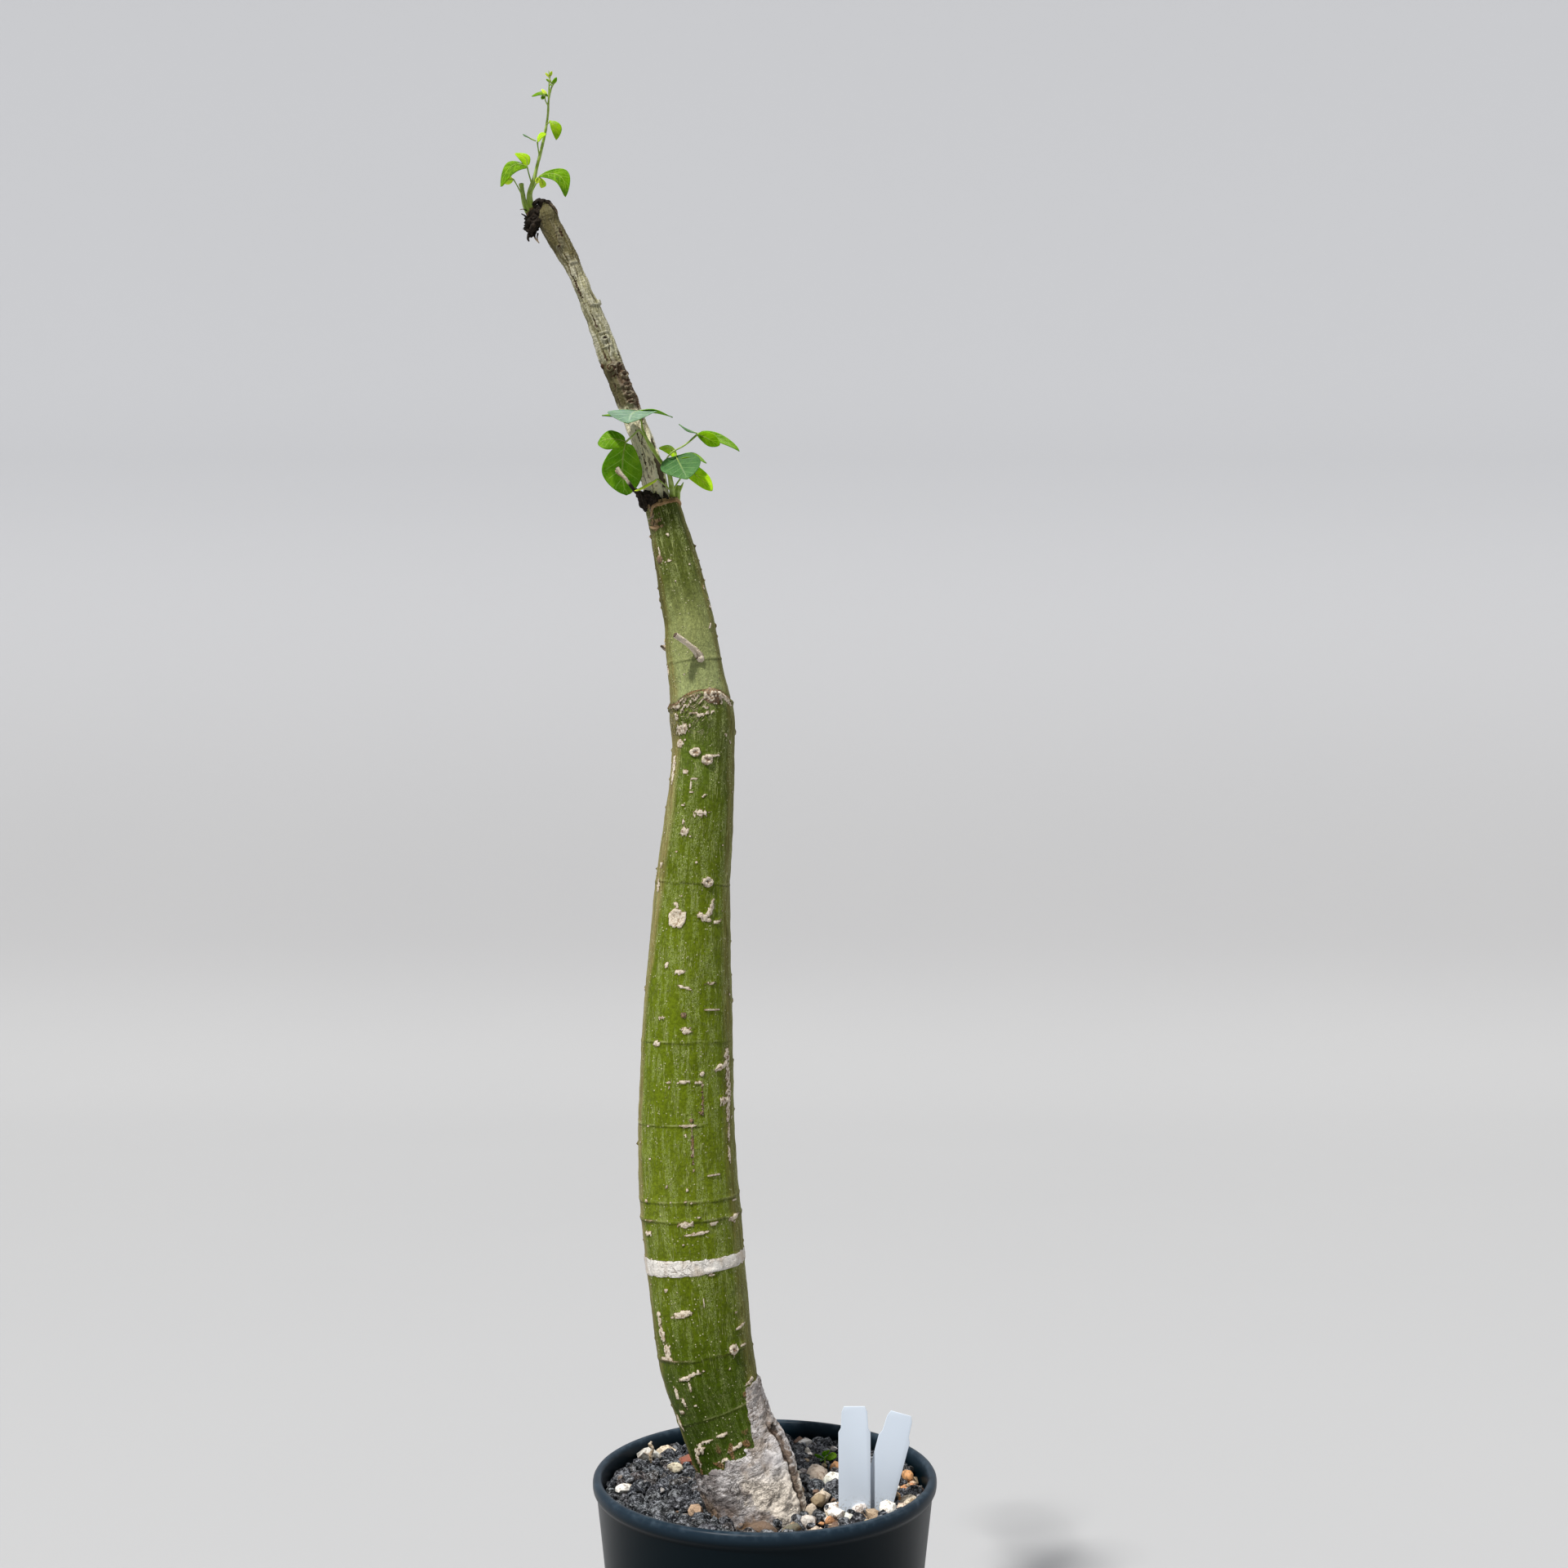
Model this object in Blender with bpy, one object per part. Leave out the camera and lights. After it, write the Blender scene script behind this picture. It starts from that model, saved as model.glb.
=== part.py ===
# Potted adenia: a bent green stem with a thin branch, in a round pot of grit
import math
import random

import bmesh
import bpy
from mathutils import Vector
from mathutils.geometry import delaunay_2d_cdt

MM = 0.001

# Pot
POT_SIDES = 56
POT_HEIGHT = 155.0
POT_FLOOR = 4.0
FOOT_RADIUS = 72.5
WALL_TOP_RADIUS = 88.0
WALL = 3.0
RIM_RADIUS = 90.0
RIM_DEPTH = 7.0
DRAIN_HOLES = 6
DRAIN_RADIUS = 5.0
DRAIN_RING = 45.0

# Grit
GRIT_LEVEL = 144.5
GRIT_SEED = 11
STONE_SPACING = 8.6
STONE_HEIGHT = 3.4
CLEARANCE = 0.35
HOLE_CLEARANCE = 0.7

# Trunk: height, right, back and radius at stations up its middle line
TRUNK = [
    (104, 8, -31, 17.0),
    (112, 6.5, -31, 20.5),
    (128, 2, -30.5, 22.5),
    (146, -3.5, -30, 23.6),
    (168, -10.2, -29, 24.3),
    (182, -16.6, -28.6, 22.8),
    (199, -23.2, -28, 22.7),
    (215, -28, -27.2, 24.1),
    (232, -31, -26.7, 24.5),
    (265, -34.8, -25, 25.1),
    (298, -37.8, -23.4, 25.7),
    (331, -39.8, -21.7, 25.0),
    (365, -40.1, -19.9, 24.0),
    (398, -39.5, -18.1, 23.0),
    (431, -38.6, -16.1, 21.1),
    (465, -37, -14, 19.4),
    (499, -34, -12, 18.0),
    (533, -32.1, -10, 16.3),
    (550, -32.6, -9, 16.9),
    (567, -34.6, -8.2, 14.8),
    (584, -37.1, -7.4, 14.1),
    (601, -39.3, -6.7, 13.2),
    (618, -43.2, -5.9, 12.5),
    (635, -47, -5.1, 11.3),
    (652, -50.9, -4.3, 9.7),
    (663.5, -53.8, -3.9, 9.3),
]
TRUNK_SIDES = 24
TRUNK_STEP = 9.5

# Rings round the trunk: height, how far they stand out, and their half height
TRUNK_RINGS = [
    (227.0, 0.7, 2.5),
    (270.5, 0.6, 5.0),
    (290.0, 0.8, 2.5),
    (376.0, 0.4, 2.5),
    (465.0, 0.5, 2.5),
    (556.0, 1.0, 3.5),
    (661.0, 0.7, 2.0),
]

# Thin woody branch that grows on from the cut top
BRANCH = [
    (652, -52.5, -4.2, 5.6),
    (670, -56.8, -3.4, 6.2),
    (685, -60.7, -2.6, 5.9),
    (705, -67.7, -1.5, 5.6),
    (730, -77.6, 0, 5.6),
    (756, -87.3, 1.5, 5.0),
    (783, -98.6, 3, 4.4),
    (796, -104.9, 3.8, 5.0),
    (809, -112.4, 4.5, 5.2),
    (816, -115.2, 4.8, 5.4),
    (821.5, -118.0, 5, 4.2),
]
BRANCH_SIDES = 10
BRANCH_STEP = 9.0

# Dead wood and old twig stubs: middle lines as (right, back, up, radius)
DEAD_WOOD = [
    [(-57.0, -5.0, 661.0, 5.0), (-61.0, -7.0, 666.5, 4.6), (-65.0, -7.5, 668.0, 2.2)],
    [(-63.0, -8.0, 665.0, 1.6), (-68.5, -11, 668.8, 1.4), (-72.2, -13, 673.2, 1.4), (-76, -14, 677.4, 1.9)],
    [(-121.0, 5.0, 821.5, 2.2), (-122.4, 4.8, 817.5, 5.2), (-121.8, 4.6, 811.5, 5.8), (-123.2, 3.6, 805.5, 2.6)],
    [(-121.0, 4.0, 808.0, 1.0), (-121.4, 2.6, 804.0, 0.7), (-122.0, 2.0, 800.9, 0.6)],
    [(-121.5, 5.0, 820.5, 1.4), (-116.0, 5.2, 822.4, 1.6), (-111.6, 5.0, 820.4, 1.0)],
    [(-37.0, -9.0, 578.0, 3.2), (-34.0, -19.5, 582.6, 2.2), (-39.4, -22.6, 587.6, 1.3), (-45.4, -24.2, 592.6, 1.0)],
    [(-48.0, -8.0, 586.6, 2.2), (-52.0, -8.0, 587.0, 1.6), (-54.6, -8.0, 587.4, 0.6)],
]

# Round scars of lost leaves and twigs: (right, back, up) of the middle, radius, height
SCARS = [
    ((-27.4, -21.6, 560.5), 3.6, 1.3),
    ((-43.6, -33.6, 447.8), 5.2, 0.9),
    ((-30.0, -24.6, 528.4), 3.0, 0.9),
    ((-16.6, -44.6, 231.7), 3.0, 1.1),
    ((-35.4, -26.6, 500.6), 3.2, 0.8),
    ((-41.6, -40.4, 396.0), 3.0, 0.8),
    ((-36.6, -44.4, 298.0), 3.6, 0.7),
    ((-42.6, -51.0, 247.0), 5.0, 0.9),
    ((-25.4, -35.6, 446.0), 3.6, 0.8),
]

# Green shoots: middle lines as (right, back, up, radius)
TOP_STEM = [
    (-123.0, 5, 819.0, 1.8), (-124.2, 5, 827.6, 1.5), (-121.4, 4.5, 836.0, 1.0), (-118.6, 4, 847.5, 0.8),
    (-116.5, 3.5, 856.0, 0.75), (-115.3, 3, 861.6, 0.65), (-114.2, 3, 870.3, 0.6), (-113.9, 3, 876.1, 0.55),
    (-112.7, 2.5, 881.6, 0.5), (-111.1, 2.5, 884.9, 0.45),
]
TOP_STUB = [(-123.6, 5, 817.5, 1.8), (-127.0, 5, 822.8, 1.4), (-127.9, 5.5, 827.7, 1.25), (-128.8, 6, 833.3, 1.2)]
TOP_TIP = [(-113.9, 3, 877.0, 0.5), (-113.5, 2, 884.7, 0.45), (-113.3, 2, 888.6, 0.5), (-113.8, 2, 891.6, 0.35)]
SIDE_STEM = [
    (-47.6, -5.6, 661.0, 1.4), (-48.5, -8, 670.5, 1.3), (-49.6, -11, 676.9, 1.15), (-53.2, -12.5, 682.2, 1.0),
    (-57.8, -13.5, 688.8, 0.85), (-61.2, -14.5, 694.8, 0.7), (-63.0, -15.5, 699.4, 0.65),
]
SIDE_STUMP = [(-46.4, -5, 660.0, 1.7), (-45.6, -5, 668.0, 1.5), (-45.4, -5, 672.4, 1.5)]

# Leaflets: base, tip, half width across, where the widest place is, and how the rib bows.
# Each leaf: the stalk's middle line, its radius, and its leaflets.
TOP_LEAVES = {
    "top_leaf_a": ([(-113.9, 3, 873.0), (-115.4, 1, 875.3), (-115.6, 0, 877.6)], 0.42, [
        ((-116.2, 0, 878.2), (-122.2, -2, 876.3), (0.3, 3.0, 1.4), 0.45, (0, 0, 1.1)),
        ((-115.6, 0.2, 878.2), (-117.1, 3, 881.8), (1.2, 1.0, -0.2), 0.5, (0.4, 0, 0.2)),
        ((-115.8, -0.2, 877.2), (-117.1, -2, 874.9), (0.7, 0.7, -0.4), 0.5, (0, 0, 0)),
        ((-115.1, -0.2, 877.7), (-113.8, -2.4, 876.8), (0.3, 0.6, -0.6), 0.5, (0, 0, 0)),
    ]),
    "top_leaf_b": ([(-114.9, 3, 863.6), (-113.8, 1, 863.4), (-112.6, -1, 863.7)], 0.42, [
        ((-112.3, -1.1, 863.7), (-109.1, -4, 852.9), (2.3, 3.0, 0.5), 0.5, (1.1, -1.5, 0.6)),
    ]),
    "top_leaf_c": ([(-118.8, 4, 846.4), (-119.4, 2, 850.8), (-119.7, 1, 853.4)], 0.42, [
        ((-119.4, 1, 854.2), (-114.6, -3.4, 855.8), (-0.5, 2.5, 1.6), 0.45, (-0.3, 0, 0.7)),
        ((-123.2, 0, 854.9), (-127.0, -1, 856.9), (0.3, 2.5, 0.6), 0.5, (0, 0, 0.2)),
    ]),
    "top_leaf_d": ([(-122.4, 4.8, 832.4), (-124.2, 1, 837.1), (-124.8, 0, 839.8)], 0.42, [
        ((-125.0, 0.2, 841.2), (-130.6, -1, 846.2), (1.7, 3.0, 1.4), 0.5, (1.7, 1.0, 1.4)),
        ((-125.7, -0.4, 840.3), (-138.4, -6, 828.0), (-2.2, 4.0, 3.0), 0.5, (-1.7, -1.0, 3.7)),
    ]),
    "top_leaf_e": ([(-124.0, 4.8, 827.2), (-121.2, 1, 829.8), (-118.6, -1, 834.2)], 0.45, [
        ((-117.4, -1, 835.5), (-104.0, -6, 822.4), (2.8, 4.0, 3.1), 0.45, (3.3, -1.0, 3.5)),
        ((-117.9, -0.6, 834.0), (-117.7, 1, 829.3), (1.7, 1.5, -0.2), 0.5, (1.0, 0, 0)),
        ((-118.9, -1.2, 834.0), (-119.4, -3.6, 830.2), (0.9, 1.2, -0.2), 0.5, (-0.2, 0, 0)),
    ]),
    "top_leaf_k": ([(-127.9, 5.2, 826.6), (-130.7, 1, 831.3), (-131.8, -1.4, 832.9)], 0.42, [
        ((-132.2, -1.8, 833.2), (-137.8, -2.0, 831.6), (0.4, 2.2, -1.5), 0.5, (0, 0, 0.3)),
    ]),
}
SIDE_LEAVES = {
    "side_leaf_f": ([(-63.0, -15.5, 698.6), (-64.0, -16.3, 704.6), (-64.9, -16.8, 708.3)], 0.6, [
        ((-65.4, -17.9, 708.6), (-68.7, -37, 698.8), (12.4, 2.5, 0.6), 0.5, (-0.9, 0, 1.5)),
        ((-66.1, -16.6, 708.7), (-84.0, -17, 706.3), (0.2, 8.0, -0.7), 0.45, (0, 0, 0.9)),
        ((-63.8, -16.6, 708.8), (-47.7, -15, 705.9), (0.2, 8.0, -0.8), 0.45, (0, 0, 1.1)),
    ]),
    "side_leaf_g": ([(-61.0, -14.5, 694.4), (-63.7, -17.4, 697.5), (-65.3, -17.6, 698.6), (-68.2, -16, 696.2),
                     (-71.4, -14, 693.6)], 0.55, [
        ((-73.0, -13.2, 693.5), (-86.3, -16, 692.2), (0.3, 2.5, 5.3), 0.5, (-0.4, -1.0, 1.7)),
        ((-72.6, -13, 692.4), (-72.3, -6, 666.8), (10.4, -1.5, -0.3), 0.52, (-1.9, 1.0, 0)),
    ]),
    "side_leaf_h": ([(-48.2, -7.2, 669.0), (-45.6, -9.0, 672.6), (-43.8, -10.5, 675.2), (-43.6, -12.5, 679.2),
                     (-45.3, -16, 683.5)], 0.6, [
        ((-46.2, -18, 684.3), (-39.0, -33, 669.4), (9.7, 3.0, 3.0), 0.42, (0, 2.0, 0)),
        ((-43.9, -15.4, 683.6), (-27.1, -14, 668.0), (1.7, 4.0, 2.2), 0.55, (1.7, 1.0, 1.6)),
        ((-44.7, -16, 684.7), (-30.3, -11, 682.7), (-0.4, 4.0, 2.0), 0.5, (0, 0, 2.2)),
        ((-46.4, -16, 684.7), (-54.6, -10.5, 690.4), (0.6, 3.4, 1.6), 0.5, (1.1, 0, 1.9)),
    ]),
    "side_leaf_i": ([(-52.4, -12.4, 681.2), (-50.4, -18.6, 684.0), (-47.4, -19.4, 687.2), (-41.3, -13.5, 691.8),
                     (-35.6, -10.5, 696.9)], 0.55, [
        ((-35.9, -10.4, 698.8), (-44.7, -9, 703.3), (0.3, 5.2, 0.8), 0.5, (0, 0, -0.3)),
        ((-34.4, -10.9, 697.6), (-23.2, -19, 690.8), (-1.2, 2.0, -2.5), 0.55, (0, 0, 0.2)),
        ((-34.0, -10.0, 698.5), (-13.4, -4, 690.0), (1.1, 4.5, 2.4), 0.42, (0.7, 0, 1.6)),
    ]),
    "side_leaf_j": ([(-48.4, -8.0, 669.2), (-52.6, -14.5, 671.6), (-55.0, -15.5, 673.7)], 0.42, [
        ((-55.9, -15.5, 673.9), (-67.2, -17.4, 667.4), (-0.5, 3.0, 0.9), 0.45, (0, 0, -0.3)),
    ]),
}
BLADE = 0.7
BLADE_ROWS = 6
SMALL_ROWS = 4
SMALL_LEAFLET = 3.2
BLADE_CUP = 0.12

# Plant labels, outline in millimetres from the middle of the tip in the grit
LABEL_THICK = 0.9
LABEL_OUTLINE = [
    (0, 0), (8.2, 12), (8.2, 82), (7.0, 84), (6.6, 92), (5.6, 95), (-5.6, 95), (-6.6, 92), (-7.0, 84), (-8.2, 82), (-8.2, 12),
]
LABELS = {
    "label_upright": ((46.0, -34.5, 103.0), 0.0, 4.0),
    "label_leaning": ((44.7, -31.4, 101.9), 15.5, 4.0),
}


def clear_scene():
    for thing in list(bpy.data.objects):
        bpy.data.objects.remove(thing, do_unlink=True)


def material(name, colour, roughness):
    made = bpy.data.materials.new(name)
    made.use_nodes = True
    shader = made.node_tree.nodes["Principled BSDF"]
    shader.inputs["Base Color"].default_value = (*colour, 1.0)
    shader.inputs["Roughness"].default_value = roughness
    made.diffuse_color = (*colour, 1.0)
    return made


def add_object(name, points, faces, look=None, smooth=False):
    mesh = bpy.data.meshes.new(name)
    mesh.from_pydata([Vector(point) * MM for point in points], [], faces)
    made = bpy.data.objects.new(name, mesh)
    bpy.context.scene.collection.objects.link(made)
    tidy(made)
    if look:
        mesh.materials.append(look)
    for face in mesh.polygons:
        face.use_smooth = smooth
    return made


def tidy(thing):
    work = bmesh.new()
    work.from_mesh(thing.data)
    bmesh.ops.recalc_face_normals(work, faces=work.faces)
    bmesh.ops.triangulate(work, faces=[face for face in work.faces if len(face.verts) > 4])
    work.to_mesh(thing.data)
    work.free()


def boolean(target, tool, operation):
    change = target.modifiers.new("cut", "BOOLEAN")
    change.operation = operation
    change.solver = "EXACT"
    change.object = tool
    bpy.context.view_layer.objects.active = target
    bpy.ops.object.modifier_apply(modifier=change.name)
    bpy.data.objects.remove(tool, do_unlink=True)


def fuse(target, pieces):
    group = bpy.data.collections.new(target.name + "_pieces")
    bpy.context.scene.collection.children.link(group)
    for piece in pieces:
        bpy.context.scene.collection.objects.unlink(piece)
        group.objects.link(piece)
    change = target.modifiers.new("fuse", "BOOLEAN")
    change.operation = "UNION"
    change.operand_type = "COLLECTION"
    change.solver = "EXACT"
    change.use_self = True
    change.collection = group
    bpy.context.view_layer.objects.active = target
    bpy.ops.object.modifier_apply(modifier=change.name)
    for piece in list(group.objects):
        bpy.data.objects.remove(piece, do_unlink=True)
    bpy.data.collections.remove(group)


def curve_point(before, here, there, after, t):
    pull = (there - before) * 0.5
    push = (after - here) * 0.5
    square = t * t
    cube = square * t
    value = here * (2 * cube - 3 * square + 1) + there * (3 * square - 2 * cube)
    return value + pull * (cube - 2 * square + t) + push * (cube - square)


def tube(name, line, sides, look=None, relief=None, smooth=True):
    """A closed body round a middle line of (right, back, up, radius) points."""
    points = []
    faces = []
    centres = [Vector(row[:3]) for row in line]
    side = None
    for index, centre in enumerate(centres):
        ahead = centres[min(index + 1, len(centres) - 1)]
        behind = centres[max(index - 1, 0)]
        along = (ahead - behind).normalized()
        if side is None:
            side = along.orthogonal().normalized()
        side = (side - along * side.dot(along)).normalized()
        across = along.cross(side)
        for step in range(sides):
            angle = 2 * math.pi * step / sides
            way = side * math.cos(angle) + across * math.sin(angle)
            radius = line[index][3]
            if relief:
                radius += relief(centre, way)
            points.append(centre + way * radius)
    for row in range(len(centres) - 1):
        for step in range(sides):
            follow = (step + 1) % sides
            low = row * sides
            high = low + sides
            faces.append((low + step, low + follow, high + follow, high + step))
    points.append(centres[0])
    points.append(centres[-1])
    first = len(points) - 2
    last = len(points) - 1
    top = (len(centres) - 1) * sides
    for step in range(sides):
        follow = (step + 1) % sides
        faces.append((first, follow, step))
        faces.append((last, top + step, top + follow))
    return add_object(name, points, faces, look, smooth)


def trunk_line(extra=0.0):
    """Rows up the trunk at even heights, and three more at each ring."""
    fine = spline4([(x, y, z, r + extra) for z, x, y, r in TRUNK], 1.0)
    heights = []
    for height, _, reach in TRUNK_RINGS:
        heights.extend((height - reach, height, height + reach))
    low = fine[0][2]
    count = round((fine[-1][2] - low) / TRUNK_STEP)
    for step in range(count + 1):
        level = low + (fine[-1][2] - low) * step / count
        if step in (0, count) or all(abs(level - height) > TRUNK_STEP * 0.4 for height in heights):
            heights.append(level)
    return [min(fine, key=lambda row: abs(row[2] - height)) for height in sorted(heights)]


def branch_line(extra=0.0):
    return spline4([(x, y, z, r + extra) for z, x, y, r in BRANCH], BRANCH_STEP)


def spline4(rows, step):
    """A smooth curve through rows of (right, back, up, radius), about one step apart."""
    places = [Vector(row[:3]) for row in rows]
    sizes = [Vector((row[3], 0, 0)) for row in rows]
    places = [places[0] * 2 - places[1]] + places + [places[-1] * 2 - places[-2]]
    sizes = [sizes[0]] + sizes + [sizes[-1]]
    made = []
    for index in range(1, len(places) - 2):
        count = max(1, round((places[index + 1] - places[index]).length / step))
        for part in range(count):
            t = part / count
            place = curve_point(*places[index - 1:index + 3], t)
            size = curve_point(*sizes[index - 1:index + 3], t)
            made.append((*place, size.x))
    made.append((*places[-2], sizes[-2].x))
    return made


def bark_edge(way):
    """Height of the upper edge of the grey bark, by the side that the surface faces."""
    turn = math.atan2(way.x, -way.y)
    return 168 + 26 * math.exp(-((turn - 1.0) / 0.6) ** 2) + 3 * math.sin(3 * turn + 0.5)


def trunk_relief(centre, way):
    out = 0.0
    for height, stand, reach in TRUNK_RINGS:
        distance = (centre.z - height) / reach
        out += stand * math.exp(-distance * distance)
    if GRIT_LEVEL - 12 < centre.z < bark_edge(way):
        out += 0.9 + 0.7 * math.sin(centre.z * 0.45 + 4 * way.x) * math.sin(5.1 * way.x + 3.7 * way.y)
    out += 0.25 * math.sin(centre.z * 0.11 + 6 * way.x) + 0.2 * math.sin(centre.z * 0.23 + 9 * way.y)
    return out


def make_pot(look):
    slope = (WALL_TOP_RADIUS - FOOT_RADIUS) / (POT_HEIGHT - RIM_DEPTH)
    under = POT_HEIGHT - RIM_DEPTH
    inner_top = WALL_TOP_RADIUS - WALL
    inner_foot = FOOT_RADIUS + slope * (POT_FLOOR + 2) - WALL
    profile = [
        (FOOT_RADIUS - 1.2, 0), (FOOT_RADIUS, 1.4),
        (FOOT_RADIUS + slope * under * 0.5, under * 0.5), (WALL_TOP_RADIUS, under),
        (RIM_RADIUS - 0.6, under + 0.8), (RIM_RADIUS, under + 2.2), (RIM_RADIUS, POT_HEIGHT - 2.2),
        (RIM_RADIUS - 0.9, POT_HEIGHT - 0.6), (RIM_RADIUS - 2.4, POT_HEIGHT),
        (inner_top + 1.2, POT_HEIGHT - 0.5), (inner_top + 0.2, POT_HEIGHT - 1.8), (inner_top, under),
        (inner_foot, POT_FLOOR + 2), (inner_foot - 2, POT_FLOOR),
    ]
    points = []
    for radius, height in profile:
        for step in range(POT_SIDES):
            angle = 2 * math.pi * step / POT_SIDES
            points.append((radius * math.cos(angle), radius * math.sin(angle), height))
    faces = []
    for row in range(len(profile) - 1):
        for step in range(POT_SIDES):
            follow = (step + 1) % POT_SIDES
            low = row * POT_SIDES
            faces.append((low + step, low + follow, low + POT_SIDES + follow, low + POT_SIDES + step))
    last = (len(profile) - 1) * POT_SIDES
    faces.append(tuple(range(POT_SIDES)))
    faces.append(tuple(last + step for step in range(POT_SIDES)))
    pot = add_object("pot", points, faces, look, True)
    for hole in range(DRAIN_HOLES):
        angle = 2 * math.pi * hole / DRAIN_HOLES
        x = DRAIN_RING * math.cos(angle)
        y = DRAIN_RING * math.sin(angle)
        line = [(x, y, -3.0, DRAIN_RADIUS), (x, y, POT_FLOOR + 4.0, DRAIN_RADIUS)]
        boolean(pot, tube("drain_cutter", line, 12), "DIFFERENCE")
    pot.data.shade_smooth()
    pot.data.set_sharp_from_angle(angle=math.radians(40))
    return pot


def inner_radius(height):
    slope = (WALL_TOP_RADIUS - FOOT_RADIUS) / (POT_HEIGHT - RIM_DEPTH)
    return FOOT_RADIUS + slope * height - WALL


def stone_places(rng, reach):
    """Middles of stones scattered over the surface, none closer than the spacing."""
    places = []
    for _ in range(9000):
        radius = reach * math.sqrt(rng.random())
        angle = 2 * math.pi * rng.random()
        x = radius * math.cos(angle)
        y = radius * math.sin(angle)
        if all((x - a) ** 2 + (y - b) ** 2 > STONE_SPACING ** 2 for a, b in places):
            places.append((x, y))
    return places


def grit_surface(rng, reach):
    """Flat positions with heights: a tilted top for each stone and the dips between."""
    stones = stone_places(rng, reach - 4.5)
    spots = []
    heights = []
    for x, y in stones:
        size = STONE_SPACING * rng.uniform(0.28, 0.38)
        level = GRIT_LEVEL + rng.uniform(0.15, 1.0) * STONE_HEIGHT
        tilt = rng.uniform(0, 2 * math.pi)
        start = rng.uniform(0, 2 * math.pi)
        for corner in range(5):
            angle = start + 2 * math.pi * corner / 5
            far = size * rng.uniform(0.85, 1.15)
            spots.append((x + far * math.cos(angle), y + far * math.sin(angle)))
            heights.append(level + 0.9 * math.cos(angle - tilt))
    _, _, triangles, _, _, _ = delaunay_2d_cdt([Vector(s) for s in stones], [], [], 0, 1e-6)
    for triangle in triangles:
        corners = [Vector(stones[index]) for index in triangle]
        middle = sum(corners, Vector((0, 0))) / 3
        if max((corner - middle).length for corner in corners) < STONE_SPACING * 1.1:
            spots.append(tuple(middle))
            heights.append(GRIT_LEVEL - rng.uniform(0.2, 1.6))
    return spots, heights


def make_substrate(look):
    rng = random.Random(GRIT_SEED)
    edge_level = GRIT_LEVEL - 1.0
    reach = inner_radius(edge_level) - CLEARANCE
    spots, heights = grit_surface(rng, reach)
    inside = len(spots)
    for step in range(POT_SIDES):
        angle = 2 * math.pi * step / POT_SIDES
        spots.append((reach * math.cos(angle), reach * math.sin(angle)))
        heights.append(edge_level)
    rim = [inside + step for step in range(POT_SIDES)]
    edges = [(rim[step], rim[(step + 1) % POT_SIDES]) for step in range(POT_SIDES)]
    where, _, triangles, origin, _, _ = delaunay_2d_cdt([Vector(s) for s in spots], edges, [], 1, 1e-6)
    points = [(place.x, place.y, heights[origin[index][0]]) for index, place in enumerate(where)]
    faces = [tuple(triangle) for triangle in triangles]
    ring = {source: index for index, sources in enumerate(origin) for source in sources}
    upper = [ring[index] for index in rim]
    bottom = POT_FLOOR + CLEARANCE
    for level in (bottom + 3.0, bottom):
        radius = inner_radius(level) - CLEARANCE - (2.2 if level == bottom else 0.0)
        lower = []
        for step in range(POT_SIDES):
            angle = 2 * math.pi * step / POT_SIDES
            lower.append(len(points))
            points.append((radius * math.cos(angle), radius * math.sin(angle), level))
        for step in range(POT_SIDES):
            follow = (step + 1) % POT_SIDES
            faces.append((upper[step], lower[step], lower[follow], upper[follow]))
        upper = lower
    faces.append(tuple(reversed(upper)))
    grit = add_object("substrate", points, faces, look)
    boolean(grit, trunk_cutter(), "DIFFERENCE")
    for name in LABELS:
        boolean(grit, label(name + "_slot", LABELS[name], CLEARANCE, None), "DIFFERENCE")
    return grit


def trunk_cutter():
    rows = [row for row in trunk_line(HOLE_CLEARANCE) if row[2] < GRIT_LEVEL + 45]
    x, y, z, radius = rows[0]
    rows[0] = (x, y, z - HOLE_CLEARANCE, radius)
    return tube("trunk_cutter", rows, TRUNK_SIDES, relief=trunk_relief)


def make_trunk(look):
    trunk = tube("trunk", trunk_line(), TRUNK_SIDES, look, trunk_relief)
    pieces = [tube("branch", branch_line(), BRANCH_SIDES)]
    for number, line in enumerate(DEAD_WOOD):
        rows = spline4(line, 3.0)
        pieces.append(tube("dead_wood_%d" % number, rows, 6))
    for number, (place, radius, stand) in enumerate(SCARS):
        pieces.append(scar("scar_%d" % number, place, radius, stand))
    fuse(trunk, pieces)
    trunk.data.shade_smooth()
    return trunk


def trunk_middle(height):
    rows = trunk_line()
    return min(rows, key=lambda row: abs(row[2] - height))


def scar(name, place, radius, stand):
    """A low round knob that faces away from the trunk's middle line."""
    x, y, z, size = trunk_middle(place[2])
    way = (Vector(place) - Vector((x, y, place[2]))).normalized()
    foot = Vector((x, y, place[2])) + way * (size - 2.0)
    top = Vector((x, y, place[2])) + way * (size + stand)
    line = [
        (*foot, radius * 0.9),
        (*foot.lerp(top, 0.6), radius),
        (*top, radius * 0.55),
    ]
    return tube(name, line, 7)


def make_stem(name, look, lines, carriers):
    stem = tube(name, spline4(lines[0], 5.0), 7, look)
    fuse(stem, [tube(name + "_part", spline4(line, 5.0), 7) for line in lines[1:]])
    for number, (line, sides) in enumerate(carriers):
        boolean(stem, tube("carrier_%d" % number, line, sides), "DIFFERENCE")
    stem.data.shade_smooth()
    return stem


def blade_profile(t, peak):
    power = math.log(0.5) / math.log(peak)
    return math.sin(math.pi * t ** power) ** 0.62


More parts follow.
